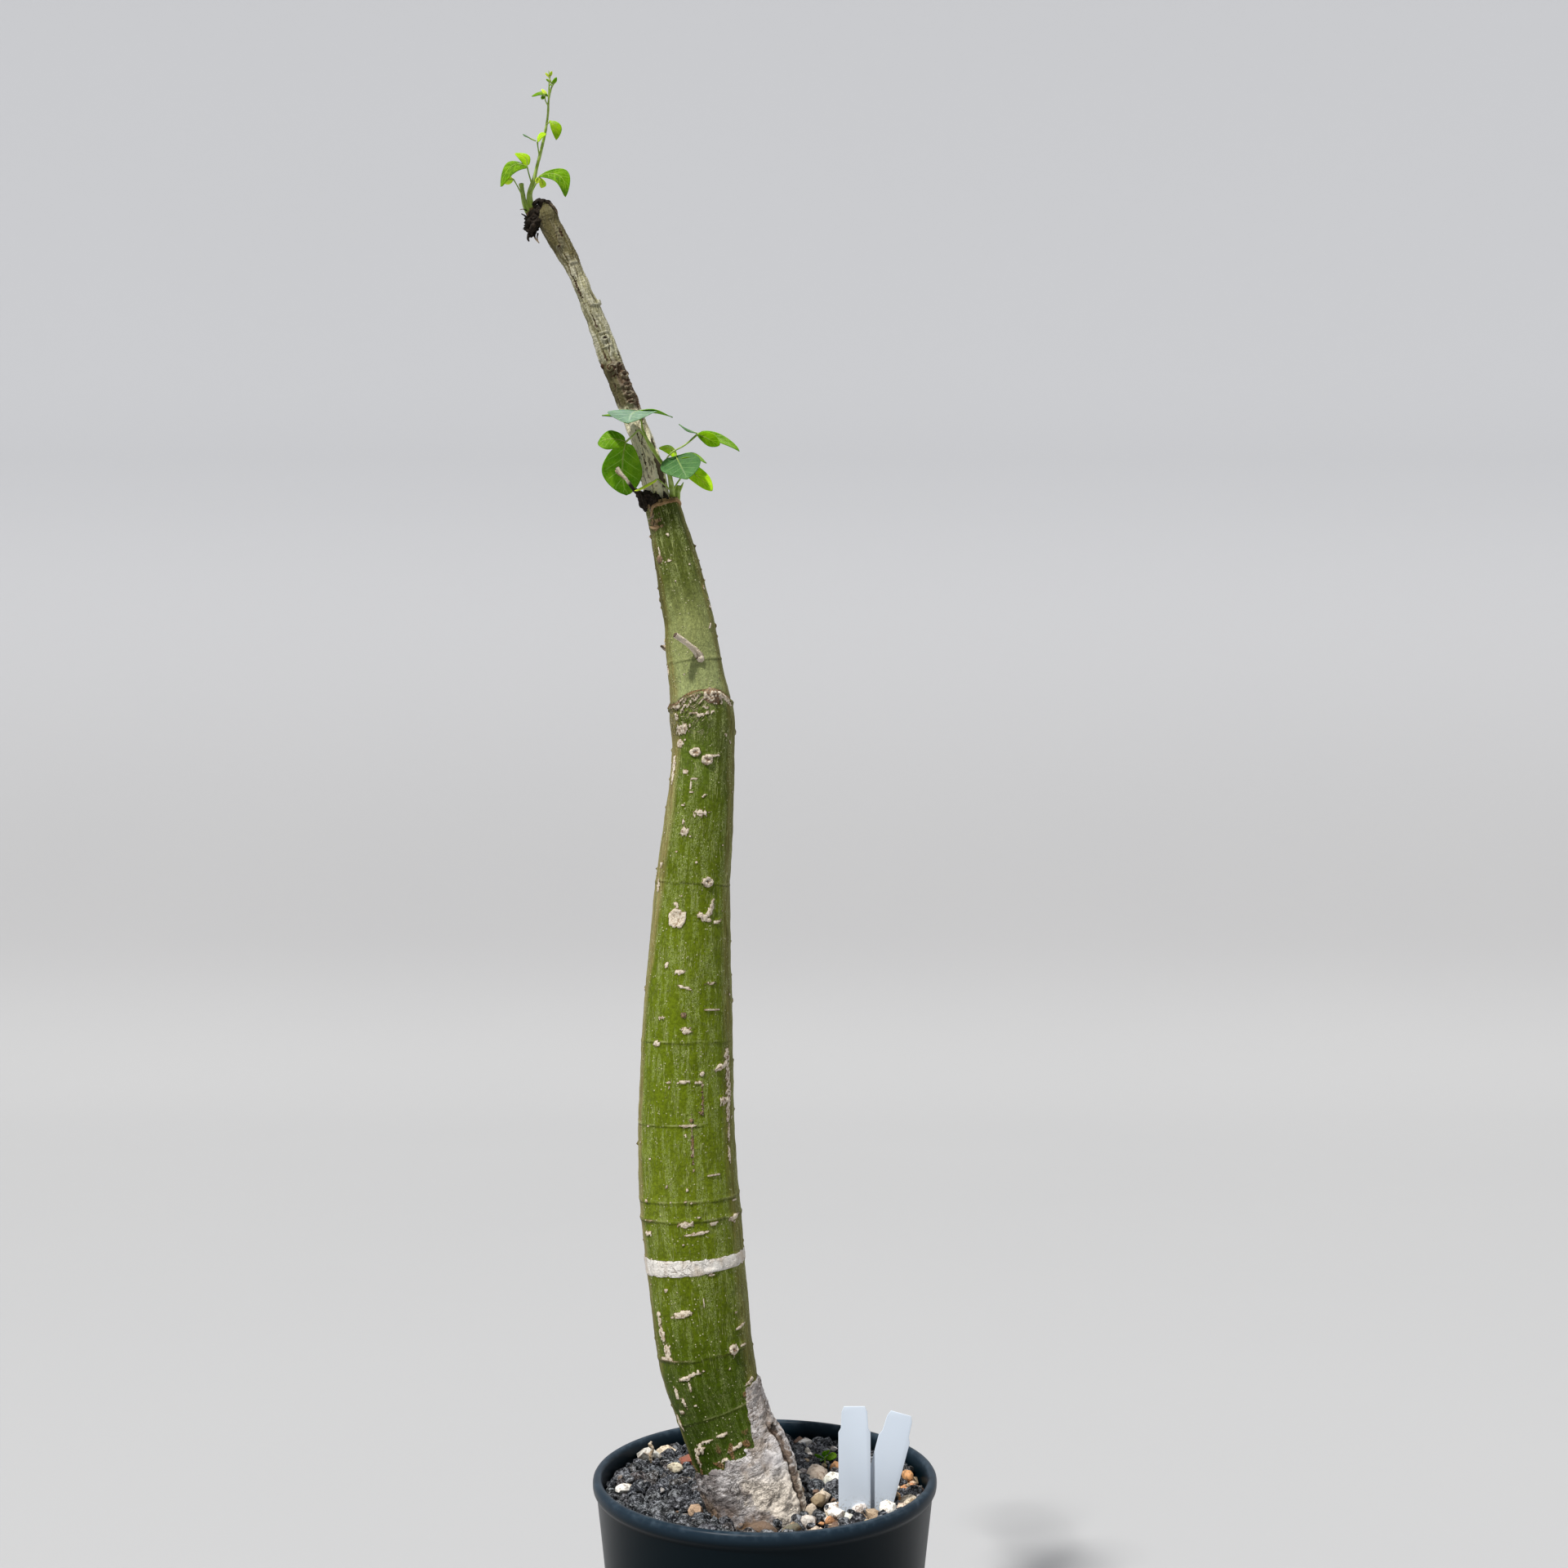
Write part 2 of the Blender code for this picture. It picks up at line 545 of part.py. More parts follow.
def blade(name, base, tip, half, peak, bow, look=None):
    """A thin arched leaflet between its base and its tip."""
    start = Vector(base)
    end = Vector(tip)
    across = Vector(half)
    lift = Vector(bow)
    normal = (end - start).cross(across).normalized()
    size = across.length
    columns = 4 if size > SMALL_LEAFLET else 2
    count = BLADE_ROWS if size > SMALL_LEAFLET else SMALL_ROWS
    rows = []
    for row in range(count + 1):
        t = row / count
        rib = start.lerp(end, t) + lift * (4 * t * (1 - t))
        if row in (0, count):
            rows.append([rib])
            continue
        wide = blade_profile(t, peak)
        line = []
        for column in range(columns + 1):
            v = 2 * column / columns - 1
            cup = BLADE_CUP * size * wide * v * v
            line.append(rib + across * (v * wide) + normal * cup)
        rows.append(line)
    points = []
    index = []
    for sign in (0.5, -0.5):
        layer = []
        for row in rows:
            layer.append(list(range(len(points), len(points) + len(row))))
            points.extend(point + normal * (BLADE * sign) for point in row)
        index.append(layer)
    faces = []
    for side, layer in enumerate(index):
        for triangle in blade_faces(layer):
            faces.append(triangle if side == 0 else tuple(reversed(triangle)))
    upper = blade_rim(index[0])
    lower = blade_rim(index[1])
    for place in range(len(upper)):
        follow = (place + 1) % len(upper)
        faces.append((upper[place], upper[follow], lower[follow], lower[place]))
    return add_object(name, points, faces, look, True)


def blade_faces(layer):
    made = []
    for low, high in zip(layer, layer[1:]):
        if len(low) == 1:
            made.extend((low[0], high[i], high[i + 1]) for i in range(len(high) - 1))
        elif len(high) == 1:
            made.extend((low[i], high[0], low[i + 1]) for i in range(len(low) - 1))
        else:
            for i in range(len(low) - 1):
                made.append((low[i], high[i], high[i + 1]))
                made.append((low[i], high[i + 1], low[i + 1]))
    return made


def blade_rim(layer):
    right = [row[-1] for row in layer]
    left = [row[0] for row in layer[1:-1]]
    return right + list(reversed(left))


def rib_point(leaflet, t):
    base, tip, _, _, bow = leaflet
    return Vector(base).lerp(Vector(tip), t) + Vector(bow) * (4 * t * (1 - t))


def make_leaf(name, look, data, stem_lines):
    stalk, radius, leaflets = data
    rows = spline4([(*point, radius) for point in stalk], 4.0)
    leaf = tube(name, rows, 5, look)
    joint = Vector(stalk[-1])
    pieces = []
    for number, leaflet in enumerate(leaflets):
        pieces.append(blade("%s_blade_%d" % (name, number), *leaflet))
        start = joint - (rib_point(leaflet, 0.05) - joint).normalized() * 0.2
        rib = [(*start, 0.5), (*rib_point(leaflet, 0.0), 0.5), (*rib_point(leaflet, 0.12), 0.42)]
        pieces.append(tube("%s_rib_%d" % (name, number), rib, 4))
    fuse(leaf, pieces)
    for number, line in enumerate(stem_lines):
        thick = [(x, y, z, size + CLEARANCE) for x, y, z, size in line]
        boolean(leaf, tube("stem_%d" % number, spline4(thick, 5.0), 7), "DIFFERENCE")
    leaf.data.shade_smooth()
    return leaf


def label(name, place, extra, look):
    (x, y, z), lean, back = place
    turn = math.radians(lean)
    tilt = math.radians(back)
    outline = LABEL_OUTLINE
    if extra:
        outline = [(0, -extra)] + [(u + math.copysign(extra, u), v) for u, v in LABEL_OUTLINE[1:]]
    right = Vector((math.cos(turn), 0, -math.sin(turn)))
    up = Vector((math.sin(turn) * math.cos(tilt), math.sin(tilt), math.cos(turn) * math.cos(tilt)))
    normal = right.cross(up).normalized()
    half = LABEL_THICK / 2 + extra
    points = []
    for sign in (-1, 1):
        for u, v in outline:
            points.append(Vector((x, y, z)) + right * u + up * v + normal * (half * sign))
    count = len(outline)
    faces = [tuple(range(count)), tuple(range(2 * count - 1, count - 1, -1))]
    for step in range(count):
        follow = (step + 1) % count
        faces.append((step, follow, count + follow, count + step))
    return add_object(name, points, faces, look)


def main():
    clear_scene()
    make_pot(material("pot_plastic", (0.035, 0.045, 0.05), 0.45))
    make_substrate(material("lava_grit", (0.09, 0.09, 0.095), 0.95))
    make_trunk(material("green_stem", (0.12, 0.19, 0.03), 0.55))
    green = material("shoot_green", (0.2, 0.3, 0.08), 0.5)
    carriers_top = [(branch_line(CLEARANCE), BRANCH_SIDES)]
    carriers_top.append((spline4([(x, y, z, r + CLEARANCE) for x, y, z, r in DEAD_WOOD[2]], 3.0), 6))
    make_stem("top_shoot", green, [TOP_STEM, TOP_STUB, TOP_TIP], carriers_top)
    carriers_side = [(trunk_top(CLEARANCE), TRUNK_SIDES), (branch_line(CLEARANCE), BRANCH_SIDES)]
    make_stem("side_shoot", material("side_green", (0.2, 0.3, 0.08), 0.5), [SIDE_STEM, SIDE_STUMP], carriers_side)
    for name, data in TOP_LEAVES.items():
        make_leaf(name, material(name + "_green", (0.22, 0.42, 0.03), 0.4), data, [TOP_STEM, TOP_STUB])
    for name, data in SIDE_LEAVES.items():
        make_leaf(name, material(name + "_green", (0.13, 0.32, 0.08), 0.4), data, [SIDE_STEM, SIDE_STUMP])
    for name, place in LABELS.items():
        label(name, place, 0.0, material(name + "_white", (0.85, 0.88, 0.92), 0.35))


def trunk_top(extra):
    """The last stretch of the trunk, a little larger all round."""
    rows = [row for row in trunk_line(extra + 0.7) if row[2] > 630]
    x, y, z, radius = rows[-1]
    ahead = (Vector(rows[-1][:3]) - Vector(rows[-2][:3])).normalized() * extra
    rows[-1] = (x + ahead.x, y + ahead.y, z + ahead.z, radius)
    return rows


main()
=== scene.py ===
import math
import random

import bpy
import numpy as np
from mathutils import Matrix, Vector


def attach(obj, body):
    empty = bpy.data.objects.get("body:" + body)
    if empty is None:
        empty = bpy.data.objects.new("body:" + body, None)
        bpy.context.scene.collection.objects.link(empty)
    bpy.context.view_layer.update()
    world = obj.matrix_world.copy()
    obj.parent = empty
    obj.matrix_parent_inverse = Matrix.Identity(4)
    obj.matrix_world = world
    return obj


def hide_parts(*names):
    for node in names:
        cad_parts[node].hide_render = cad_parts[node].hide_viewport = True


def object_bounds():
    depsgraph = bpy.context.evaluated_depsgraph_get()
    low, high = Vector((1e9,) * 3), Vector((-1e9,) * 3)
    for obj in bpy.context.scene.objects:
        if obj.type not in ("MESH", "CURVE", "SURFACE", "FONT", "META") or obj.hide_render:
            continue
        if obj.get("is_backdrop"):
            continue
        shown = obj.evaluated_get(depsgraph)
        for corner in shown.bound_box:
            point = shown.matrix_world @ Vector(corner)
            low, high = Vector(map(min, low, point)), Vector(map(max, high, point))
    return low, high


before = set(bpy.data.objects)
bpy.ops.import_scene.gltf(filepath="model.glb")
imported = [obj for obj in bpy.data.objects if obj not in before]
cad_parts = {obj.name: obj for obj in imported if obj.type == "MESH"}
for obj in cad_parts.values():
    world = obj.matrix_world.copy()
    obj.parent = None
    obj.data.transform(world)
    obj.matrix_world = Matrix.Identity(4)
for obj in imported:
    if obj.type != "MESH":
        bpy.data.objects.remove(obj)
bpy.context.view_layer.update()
bpy.ops.object.select_all(action="DESELECT")


# Pot. A round tapered nursery pot of dark plastic with a rolled lip, moulded in one shot.
# It is drawn up ring by ring from its foot, over the lip and down inside to the floor,
# and six drain holes are bored through the floor.
POT_RINGS = [
    (71.3, 0.0), (72.2, 0.4), (72.6, 1.4), (76.6, 40.0), (80.6, 78.0), (84.6, 116.0), (87.9, 146.0),
    (88.4, 147.2), (89.2, 148.0), (89.75, 149.1), (90.0, 150.4), (90.0, 152.4), (89.8, 153.5),
    (89.2, 154.4),
    (88.4, 154.9), (87.5, 155.0), (86.5, 154.9), (85.8, 154.4), (85.3, 153.5), (85.1, 152.2),
    (84.9, 148.0),
    (77.3, 76.0), (70.1, 6.4), (69.4, 4.9), (67.9, 4.0),
]
POT_SIDES = 144
DRAIN_CIRCLE = 45.0
DRAIN_RADIUS = 0.005
DRAIN_TURNS = np.radians([0, 60, 120, 180, 240, 300])
DRAIN_PLACES = [(DRAIN_CIRCLE * math.cos(turn), DRAIN_CIRCLE * math.sin(turn)) for turn in DRAIN_TURNS]


def select_only(*things):
    bpy.ops.object.select_all(action="DESELECT")
    for thing in things:
        thing.select_set(True)
    bpy.context.view_layer.objects.active = things[0]


def named(name):
    made = bpy.context.object
    made.name = name
    made.data.name = name
    return made


def turned(name, rings, sides):
    """A round closed body, drawn up ring by ring from a disc at its first ring."""
    bpy.ops.mesh.primitive_circle_add(vertices=sides, radius=rings[0][0] / 1000, fill_type="NGON",
        calc_uvs=False, location=(0, 0, rings[0][1] / 1000))
    body = named(name)
    bpy.ops.object.mode_set(mode="EDIT")
    bpy.ops.mesh.select_all(action="SELECT")
    for (radius, height), (next_radius, next_height) in zip(rings, rings[1:]):
        rise = (next_height - height) / 1000
        bpy.ops.mesh.extrude_region_move(TRANSFORM_OT_translate={"value": (0, 0, rise)})
        grow = next_radius / radius
        bpy.ops.transform.resize(value=(grow, grow, 1), center_override=(0, 0, next_height / 1000))
    bpy.ops.mesh.select_all(action="SELECT")
    bpy.ops.mesh.normals_make_consistent(inside=False)
    bpy.ops.object.mode_set(mode="OBJECT")
    return body


pot = turned("nursery_pot", POT_RINGS, POT_SIDES)
for x, y in DRAIN_PLACES:
    bpy.ops.mesh.primitive_cylinder_add(vertices=32, radius=DRAIN_RADIUS, depth=0.02,
        calc_uvs=False, location=(x / 1000, y / 1000, 0.002))
    drill = bpy.context.object
    bore = pot.modifiers.new("drain", "BOOLEAN")
    bore.operation = "DIFFERENCE"
    bore.object = drill
    select_only(pot)
    bpy.ops.object.modifier_apply(modifier=bore.name)
    bpy.data.objects.remove(drill, do_unlink=True)
select_only(pot)
bpy.ops.object.shade_smooth_by_angle(angle=math.radians(38))


class Flow:
    """A socket in a material, so that sums on it are written as plain expressions."""

    def __init__(self, tree, socket=None):
        self.tree = tree
        self.socket = socket

    def node(self, kind, settings, sockets, out=0):
        made = self.tree.nodes.new(kind)
        for key, value in settings.items():
            if key == "stops":
                for number, (place, colour) in enumerate(value):
                    stop = (made.color_ramp.elements[number] if number < 2
                        else made.color_ramp.elements.new(place))
                    stop.position = place
                    stop.color = (*colour, 1)
            else:
                setattr(made, key, value)
        for key, value in sockets.items():
            if isinstance(value, Flow):
                self.tree.links.new(value.socket, made.inputs[key])
            elif isinstance(value,
                tuple) and len(value) == 3 and len(made.inputs[key].default_value) == 4:
                made.inputs[key].default_value = (*value, 1)
            else:
                made.inputs[key].default_value = value
        return Flow(self.tree, made.outputs[out])

    def attribute(self, name, out="Fac"):
        """A value that the mesh carries."""
        return self.node("ShaderNodeAttribute", {"attribute_name": name}, {}, out=out)

    def part(self, letter):
        """One of the three numbers of this place."""
        return self.node("ShaderNodeSeparateXYZ", {}, {"Vector": self}, out=letter)

    def sum(self, operation, left, right):
        return self.node("ShaderNodeMath", {"operation": operation}, {0: left, 1: right})

    def __add__(self, other):
        return self.sum("ADD", self, other)

    def __radd__(self, other):
        return self.sum("ADD", other, self)

    def __sub__(self, other):
        return self.sum("SUBTRACT", self, other)

    def __rsub__(self, other):
        return self.sum("SUBTRACT", other, self)

    def __mul__(self, other):
        return self.sum("MULTIPLY", self, other)

    def __rmul__(self, other):
        return self.sum("MULTIPLY", other, self)

    def __pow__(self, other):
        return self.sum("POWER", self, other)

    def __abs__(self):
        return self.sum("ABSOLUTE", self, 0.0)

    def most(self, other):
        return self.sum("MAXIMUM", self, other)

    def step(self, low, high):
        """Runs smoothly from 0 at low to 1 at high; low may be the larger."""
        sockets = {"Value": self, "From Min": low, "From Max": high}
        return self.node("ShaderNodeMapRange", {"interpolation_type": "SMOOTHSTEP"}, sockets)

    def noise(self, scale, detail=3.0, rough=0.55, bend=0.0):
        sockets = {"Vector": self, "Scale": scale, "Detail": detail, "Roughness": rough,
            "Distortion": bend}
        return self.node("ShaderNodeTexNoise", {}, sockets)

    def stretched(self, x, y, z):
        return self.node("ShaderNodeMapping", {}, {"Vector": self, "Scale": (x, y, z)})

    def blend(self, first, second):
        """One colour or another, by this value from 0 to 1."""
        return self.node("ShaderNodeMix", {"data_type": "RGBA"}, {0: self, 6: first, 7: second}, out=2)

    def scaled(self, value):
        """This colour, brighter or darker by a value."""
        return self.node("ShaderNodeVectorMath", {"operation": "SCALE"}, {0: self, "Scale": value})

    def feed(self, shader, socket):
        self.tree.links.new(self.socket, shader.inputs[socket])


def new_look(name, roughness=0.5, specular=0.5):
    """A material, its Principled shader, and a start for its sums."""
    look = bpy.data.materials.new(name)
    look.use_nodes = True
    shader = look.node_tree.nodes["Principled BSDF"]
    shader.inputs["Roughness"].default_value = roughness
    shader.inputs["Specular IOR Level"].default_value = specular
    return look, shader, Flow(look.node_tree)


def places(flow):
    return flow.node("ShaderNodeTexCoord", {}, {}, out="Object")


def carved(flow, height, distance, strength=1.0):
    """A normal that follows a height pattern."""
    return flow.node("ShaderNodeBump", {},
        {"Height": height, "Distance": distance, "Strength": strength})


PLASTIC_DARK = (0.0004, 0.0036, 0.0060)
PLASTIC_LIGHT = (0.0014, 0.0060, 0.0090)
SCUFF_GREY = (0.055, 0.065, 0.072)
RIM_SHEEN = (0.020, 0.036, 0.055)
RIM_DUST_AND_SHEEN = (0.10, 0.14, 0.18)
pot_look, shader, flow = new_look("satin_dark_plastic", 0.34, 0.075)
spot = places(flow)
height = spot.part("Z")
mottle = spot.noise(28, 4)
grain = spot.noise(1900, 2)
scuffs = spot.stretched(1, 1, 9).noise(160, 5, 0.7).step(0.66, 0.78)
# Painted light on the rim: its lip is painted a lighter blue-grey as a painted sheen, and patches on
# its top are painted pale blue-grey, partly dust and partly painted sheen.
dust_and_sheen = height.step(0.1505, 0.1552) * spot.noise(210, 4).step(0.42, 0.72)
tone = mottle.blend(PLASTIC_DARK, PLASTIC_LIGHT)
tone = (scuffs * 0.12).blend(tone, SCUFF_GREY)
sheen = height.step(0.1470, 0.1535)
tone = (sheen * 0.55).blend(tone, RIM_SHEEN)
(dust_and_sheen * 0.22).blend(tone, RIM_DUST_AND_SHEEN).feed(shader, "Base Color")
(0.26 + 0.14 * mottle + 0.14 * scuffs + 0.14 * dust_and_sheen).feed(shader, "Roughness")
carved(flow, grain + 1.5 * mottle, 0.00004, 0.45).feed(shader, "Normal")
pot.data.materials.append(pot_look)
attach(pot, "root")
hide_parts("pot")


# Grit. Porous black lava stones of 4 to 8 mm, poured loose into the pot, with pale, tan and
# orange pebbles mixed in on the right. The bed below is the same grit, packed and dark.
GRIT_BED = [(67.5, 4.5), (70.0, 9.0), (76.8, 76.0), (83.4, 139.0), (83.0, 141.6), (60.0, 142.4),
    (25.0, 142.8)]
# The hole for the trunk: right, back and radius. The inner wall: its radius at a level, and its taper
TRUNK_FOOT = (-3.5, -30.0, 23.2)
WALL_INSIDE = 84.7
WALL_LEVEL = 148.0
WALL_TAPER = 0.1056
# Layers: level, spacing, how uneven, smallest and largest stone
STONE_LAYERS = [(142.8, 6.0, 0.8, 3.2, 4.6), (145.2, 6.9, 1.3, 3.2, 5.6), (147.0, 5.2, 1.0, 1.2, 2.4)]
# Stones that the front shows: right, back, up, size, height and tone
PLACED_STONES = [
    (-68.6, 49.0, 148.6, 5.2, 3.6, "white"), (-42.0, 39.0, 148.0, 4.0, 3.2, "red"),
    (-74.0, -6.0, 147.6, 4.0, 3.0, "white"),
    (-1.5, -61.0, 147.4, 7.2, 4.0, "umber"), (13.5, -61.5, 147.0, 4.4, 3.0, "moss"),
    (22.5, -52.0, 147.8, 3.8, 3.4, "white"),
    (27.5, 15.0, 148.6, 6.4, 4.0, "cream"), (36.0, 8.0, 148.4, 4.2, 4.0, "white"),
    (17.5, -6.0, 147.6, 3.4, 3.0, "tan"),
    (36.0, -40.0, 147.4, 4.4, 3.2, "white"), (37.5, 28.0, 148.0, 3.2, 3.0, "orange"),
    (76.0, 15.0, 147.8, 3.6, 3.4, "orange"),
    (28.0, -22.0, 147.6, 4.6, 3.4, "tan"), (24.0, -36.0, 147.2, 3.8, 3.4, "cream"),
    (63.0, -34.0, 147.4, 4.6, 3.6, "white"),
    (55.0, -44.0, 147.6, 5.0, 3.8, "tan"), (-35.0, -35.0, 147.4, 4.4, 3.2, "tan"),
    (-48.0, 27.0, 147.8, 3.4, 2.8, "cream"),
]
STONE_TONES = {
    "white": (0.80, 0.76, 0.70), "cream": (0.68, 0.58, 0.44), "tan": (0.46, 0.34, 0.22),
    "orange": (0.52, 0.25, 0.11),
    "red": (0.25, 0.075, 0.05), "umber": (0.15, 0.095, 0.065), "moss": (0.17, 0.17, 0.11),
    "grey": (0.26, 0.25, 0.24),
    "soot": (0.074, 0.080, 0.090), "ash": (0.145, 0.152, 0.164), "ink": (0.026, 0.032, 0.042),
    "rust": (0.115, 0.098, 0.090),
}
PEBBLE_MIX = ["white", "white", "cream", "cream", "tan", "tan", "tan", "umber", "umber", "grey",
    "grey", "orange"]
LAVA_MIX = ["soot", "soot", "ash", "ash", "ash", "ash", "ink", "rust"]
SCATTER_THROWS = 7000
SCATTER_REACH = 82.0
TOP_LAYERS = 145
STONE_SEED = 23


def ripple(points, size, seed):
    """A smooth wavy value from -1 to 1 over points in millimetres, with waves of about this size."""
    rng = np.random.RandomState(seed)
    total = np.zeros(len(points))
    for _ in range(7):
        way = rng.normal(size=3)
        way = way / np.linalg.norm(way) * rng.uniform(0.7, 1.5) * 2 * math.pi / size
        total += np.sin(points @ way + rng.uniform(0, 2 * math.pi))
    return total / 3.6


def read_points(thing):
    flat = np.empty(len(thing.data.vertices) * 3)
    thing.data.vertices.foreach_get("co", flat)
    return flat.reshape(-1, 3)


def write_points(thing, points):
    thing.data.vertices.foreach_set("co", np.asarray(points, float).ravel())
    thing.data.update()


def master_stone(name, seed, craggy):
    """One stone of a millimetre, of which copies are laid: a craggy lump or a flat-faced chip."""
    bpy.ops.mesh.primitive_ico_sphere_add(subdivisions=2, radius=1.0, location=(0, 0, 0))
    stone = named(name)
    points = read_points(stone)
    jitter = np.random.RandomState(seed).uniform(-1, 1, len(points))
    lumps = 1 + 0.20 * ripple(points, 1.9, seed) + (0.20 if craggy else 0.24) * jitter
    write_points(stone, points * lumps[:, None])
    if not craggy:
        bpy.ops.object.mode_set(mode="EDIT")
        bpy.ops.mesh.select_all(action="SELECT")
        bpy.ops.mesh.convex_hull()
        bpy.ops.object.mode_set(mode="OBJECT")
        bpy.ops.object.shade_smooth_by_angle(angle=math.radians(42))
    return stone


def lay_stone(master, place, size, flatness, tone, rng):
    """A copy of a master stone, turned at random and laid in its place in millimetres.

    A stone that would reach into the pot's wall is moved in until it only touches it.
    """
    stone = master.copy()
    stone.data = master.data.copy()
    bpy.context.scene.collection.objects.link(stone)
    long_way = rng.uniform(0.85, 1.35)
    shape = Matrix.Diagonal((size * long_way, size / long_way ** 0.5, size * flatness, 1))
    spin = Matrix.Rotation(rng.uniform(0, 6.28), 4, "Y") @ Matrix.Rotation(rng.uniform(0, 6.28), 4, "Z")
    roll = Matrix.Rotation(rng.uniform(0, 6.28), 4, "Z") @ Matrix.Rotation(rng.uniform(-0.5, 0.5), 4,
        "X")
    stone.data.transform(Matrix.Scale(0.001, 4) @ Matrix.Translation(place) @ roll @ shape @ spin)
    wall = 0.001 * (WALL_INSIDE - WALL_TAPER * (WALL_LEVEL - place[2]))
    too_far = max(math.hypot(corner.co.x, corner.co.y) for corner in stone.data.vertices) - wall
    if too_far > 0:
        inward = -too_far / math.hypot(place[0], place[1])
        stone.data.transform(Matrix.Translation((place[0] * inward, place[1] * inward, 0)))
    layer = stone.data.attributes.new("tone", "FLOAT_COLOR", "POINT")
    bright = rng.uniform(0.72, 1.28)
    colour = [part * bright * rng.uniform(0.96, 1.04) for part in tone]
    layer.data.foreach_set("color", [*colour, 1.0] * len(stone.data.vertices))
    return stone


def scattered(rng, spacing):
    """Random spots over the pot, no two closer than the spacing."""
    spots = np.empty((0, 2))
    for _ in range(SCATTER_THROWS):
        far = SCATTER_REACH * math.sqrt(rng.random())
        turn = 2 * math.pi * rng.random()
        spot = np.array((far * math.cos(turn), far * math.sin(turn)))
        if not len(spots) or ((spots - spot) ** 2).sum(1).min() > spacing ** 2:
            spots = np.vstack((spots, spot))
    return spots


bed = turned("grit_bed", GRIT_BED, 96)

lava_masters = [master_stone("lava_master_%d" % number, 10 + number, True) for number in range(9)]
pebble_masters = [master_stone("pebble_master_%d" % number, 30 + number, False) for number in range(8)]
rng = random.Random(STONE_SEED)
lava_stones = []
pebble_stones = []
for x, y, z, size, tall, tone in PLACED_STONES:
    master = pebble_masters[rng.randrange(8)]
    pebble_stones.append(lay_stone(master, (x, y, z), size * 0.92, tall / size, STONE_TONES[tone], rng))
taken = np.array([(x, y, size) for x, y, z, size, tall, tone in PLACED_STONES])
for level, spacing, lift, smallest, largest in STONE_LAYERS:
    for x, y in scattered(rng, spacing):
        if math.hypot(x - TRUNK_FOOT[0], y - TRUNK_FOOT[1]) < TRUNK_FOOT[2] + 1.0:
            continue
        if level > TOP_LAYERS and (np.hypot(taken[:, 0] - x, taken[:, 1] - y) < taken[:, 2]
                + 1.6).any():
            continue
        right_side = 1 / (1 + math.exp(-(x - 12) / 5)) * (0.55 if y < 24 else 0.14)
        size = rng.uniform(smallest, largest)
        spot = (x, y, level + rng.uniform(-0.6, 1.1) * lift)
        if rng.random() < max(right_side, 0.05):
            tone = STONE_TONES[rng.choice(PEBBLE_MIX)]
            pebble_stones.append(lay_stone(rng.choice(pebble_masters), spot, size * 0.86, 0.78, tone,
                rng))
        else:
            tone = STONE_TONES[rng.choice(LAVA_MIX)]
            lava_stones.append(lay_stone(rng.choice(lava_masters), spot, size, 0.86, tone, rng))
for master in lava_masters + pebble_masters:
    bpy.data.objects.remove(master, do_unlink=True)
select_only(*lava_stones)
bpy.ops.object.join()
lava = named("lava_stones")
select_only(*pebble_stones)
bpy.ops.object.join()
pebbles = named("pebbles")

PIT_PAINTED_SHADE = (0.003, 0.004, 0.006)
LAVA_PAINTED_HIGHLIGHT = (0.50, 0.52, 0.56)
LAVA_FLECK = (0.46, 0.46, 0.46)
STAIN_BROWN = (0.17, 0.105, 0.06)
STAIN_PALE = (0.66, 0.61, 0.54)
SPECK_DARK = (0.09, 0.075, 0.06)
BED_BLACK = (0.004, 0.004, 0.005)
BED_GREY = (0.035, 0.034, 0.034)
lava_look, shader, flow = new_look("porous_lava", 0.9, 0.3)
spot = places(flow)
own = flow.attribute("tone", "Color")
crags = spot.noise(430, 6, 0.75)
pores = spot.noise(1500, 3, 0.65)
rugged = 0.7 * crags + 0.3 * pores
# Painted light: the low places of each stone's relief are painted black as shade, and its raised crags
# light grey as highlight.
tone = rugged.step(0.44, 0.53).blend(PIT_PAINTED_SHADE, own)
tone = (rugged.step(0.52, 0.59) * 0.90).blend(tone, LAVA_PAINTED_HIGHLIGHT)
(pores.step(0.62, 0.72) * 0.6).blend(tone, LAVA_FLECK).feed(shader, "Base Color")
(0.74 + 0.2 * pores).feed(shader, "Roughness")
carved(flow, rugged, 0.0042, 1.0).feed(shader, "Normal")

pebble_look, shader, flow = new_look("mixed_pebbles", 0.7, 0.35)
spot = places(flow)
own = flow.attribute("tone", "Color")
stain = spot.noise(330, 5, 0.68)
specks = spot.noise(1500, 3).step(0.58, 0.70)
tone = (stain.step(0.48, 0.62) * 0.7).blend(own, STAIN_BROWN)
tone = (stain.step(0.38, 0.28) * 0.45).blend(tone, STAIN_PALE)
(specks * 0.35).blend(tone, SPECK_DARK).feed(shader, "Base Color")
(0.55 + 0.35 * stain).feed(shader, "Roughness")
carved(flow, stain + 0.3 * specks, 0.0014, 0.85).feed(shader, "Normal")

lava.data.materials.append(lava_look)
pebbles.data.materials.append(pebble_look)
bed_look, shader, flow = new_look("packed_grit", 0.95, 0.2)
spot = places(flow)
crumbs = spot.noise(420, 4, 0.65)
crumbs.step(0.3, 0.75).blend(BED_BLACK, BED_GREY).feed(shader, "Base Color")
carved(flow, crumbs, 0.0016, 1.0).feed(shader, "Normal")
bed.data.materials.append(bed_look)
for piece in (bed, lava, pebbles):
    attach(piece, "root")
    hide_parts("substrate")


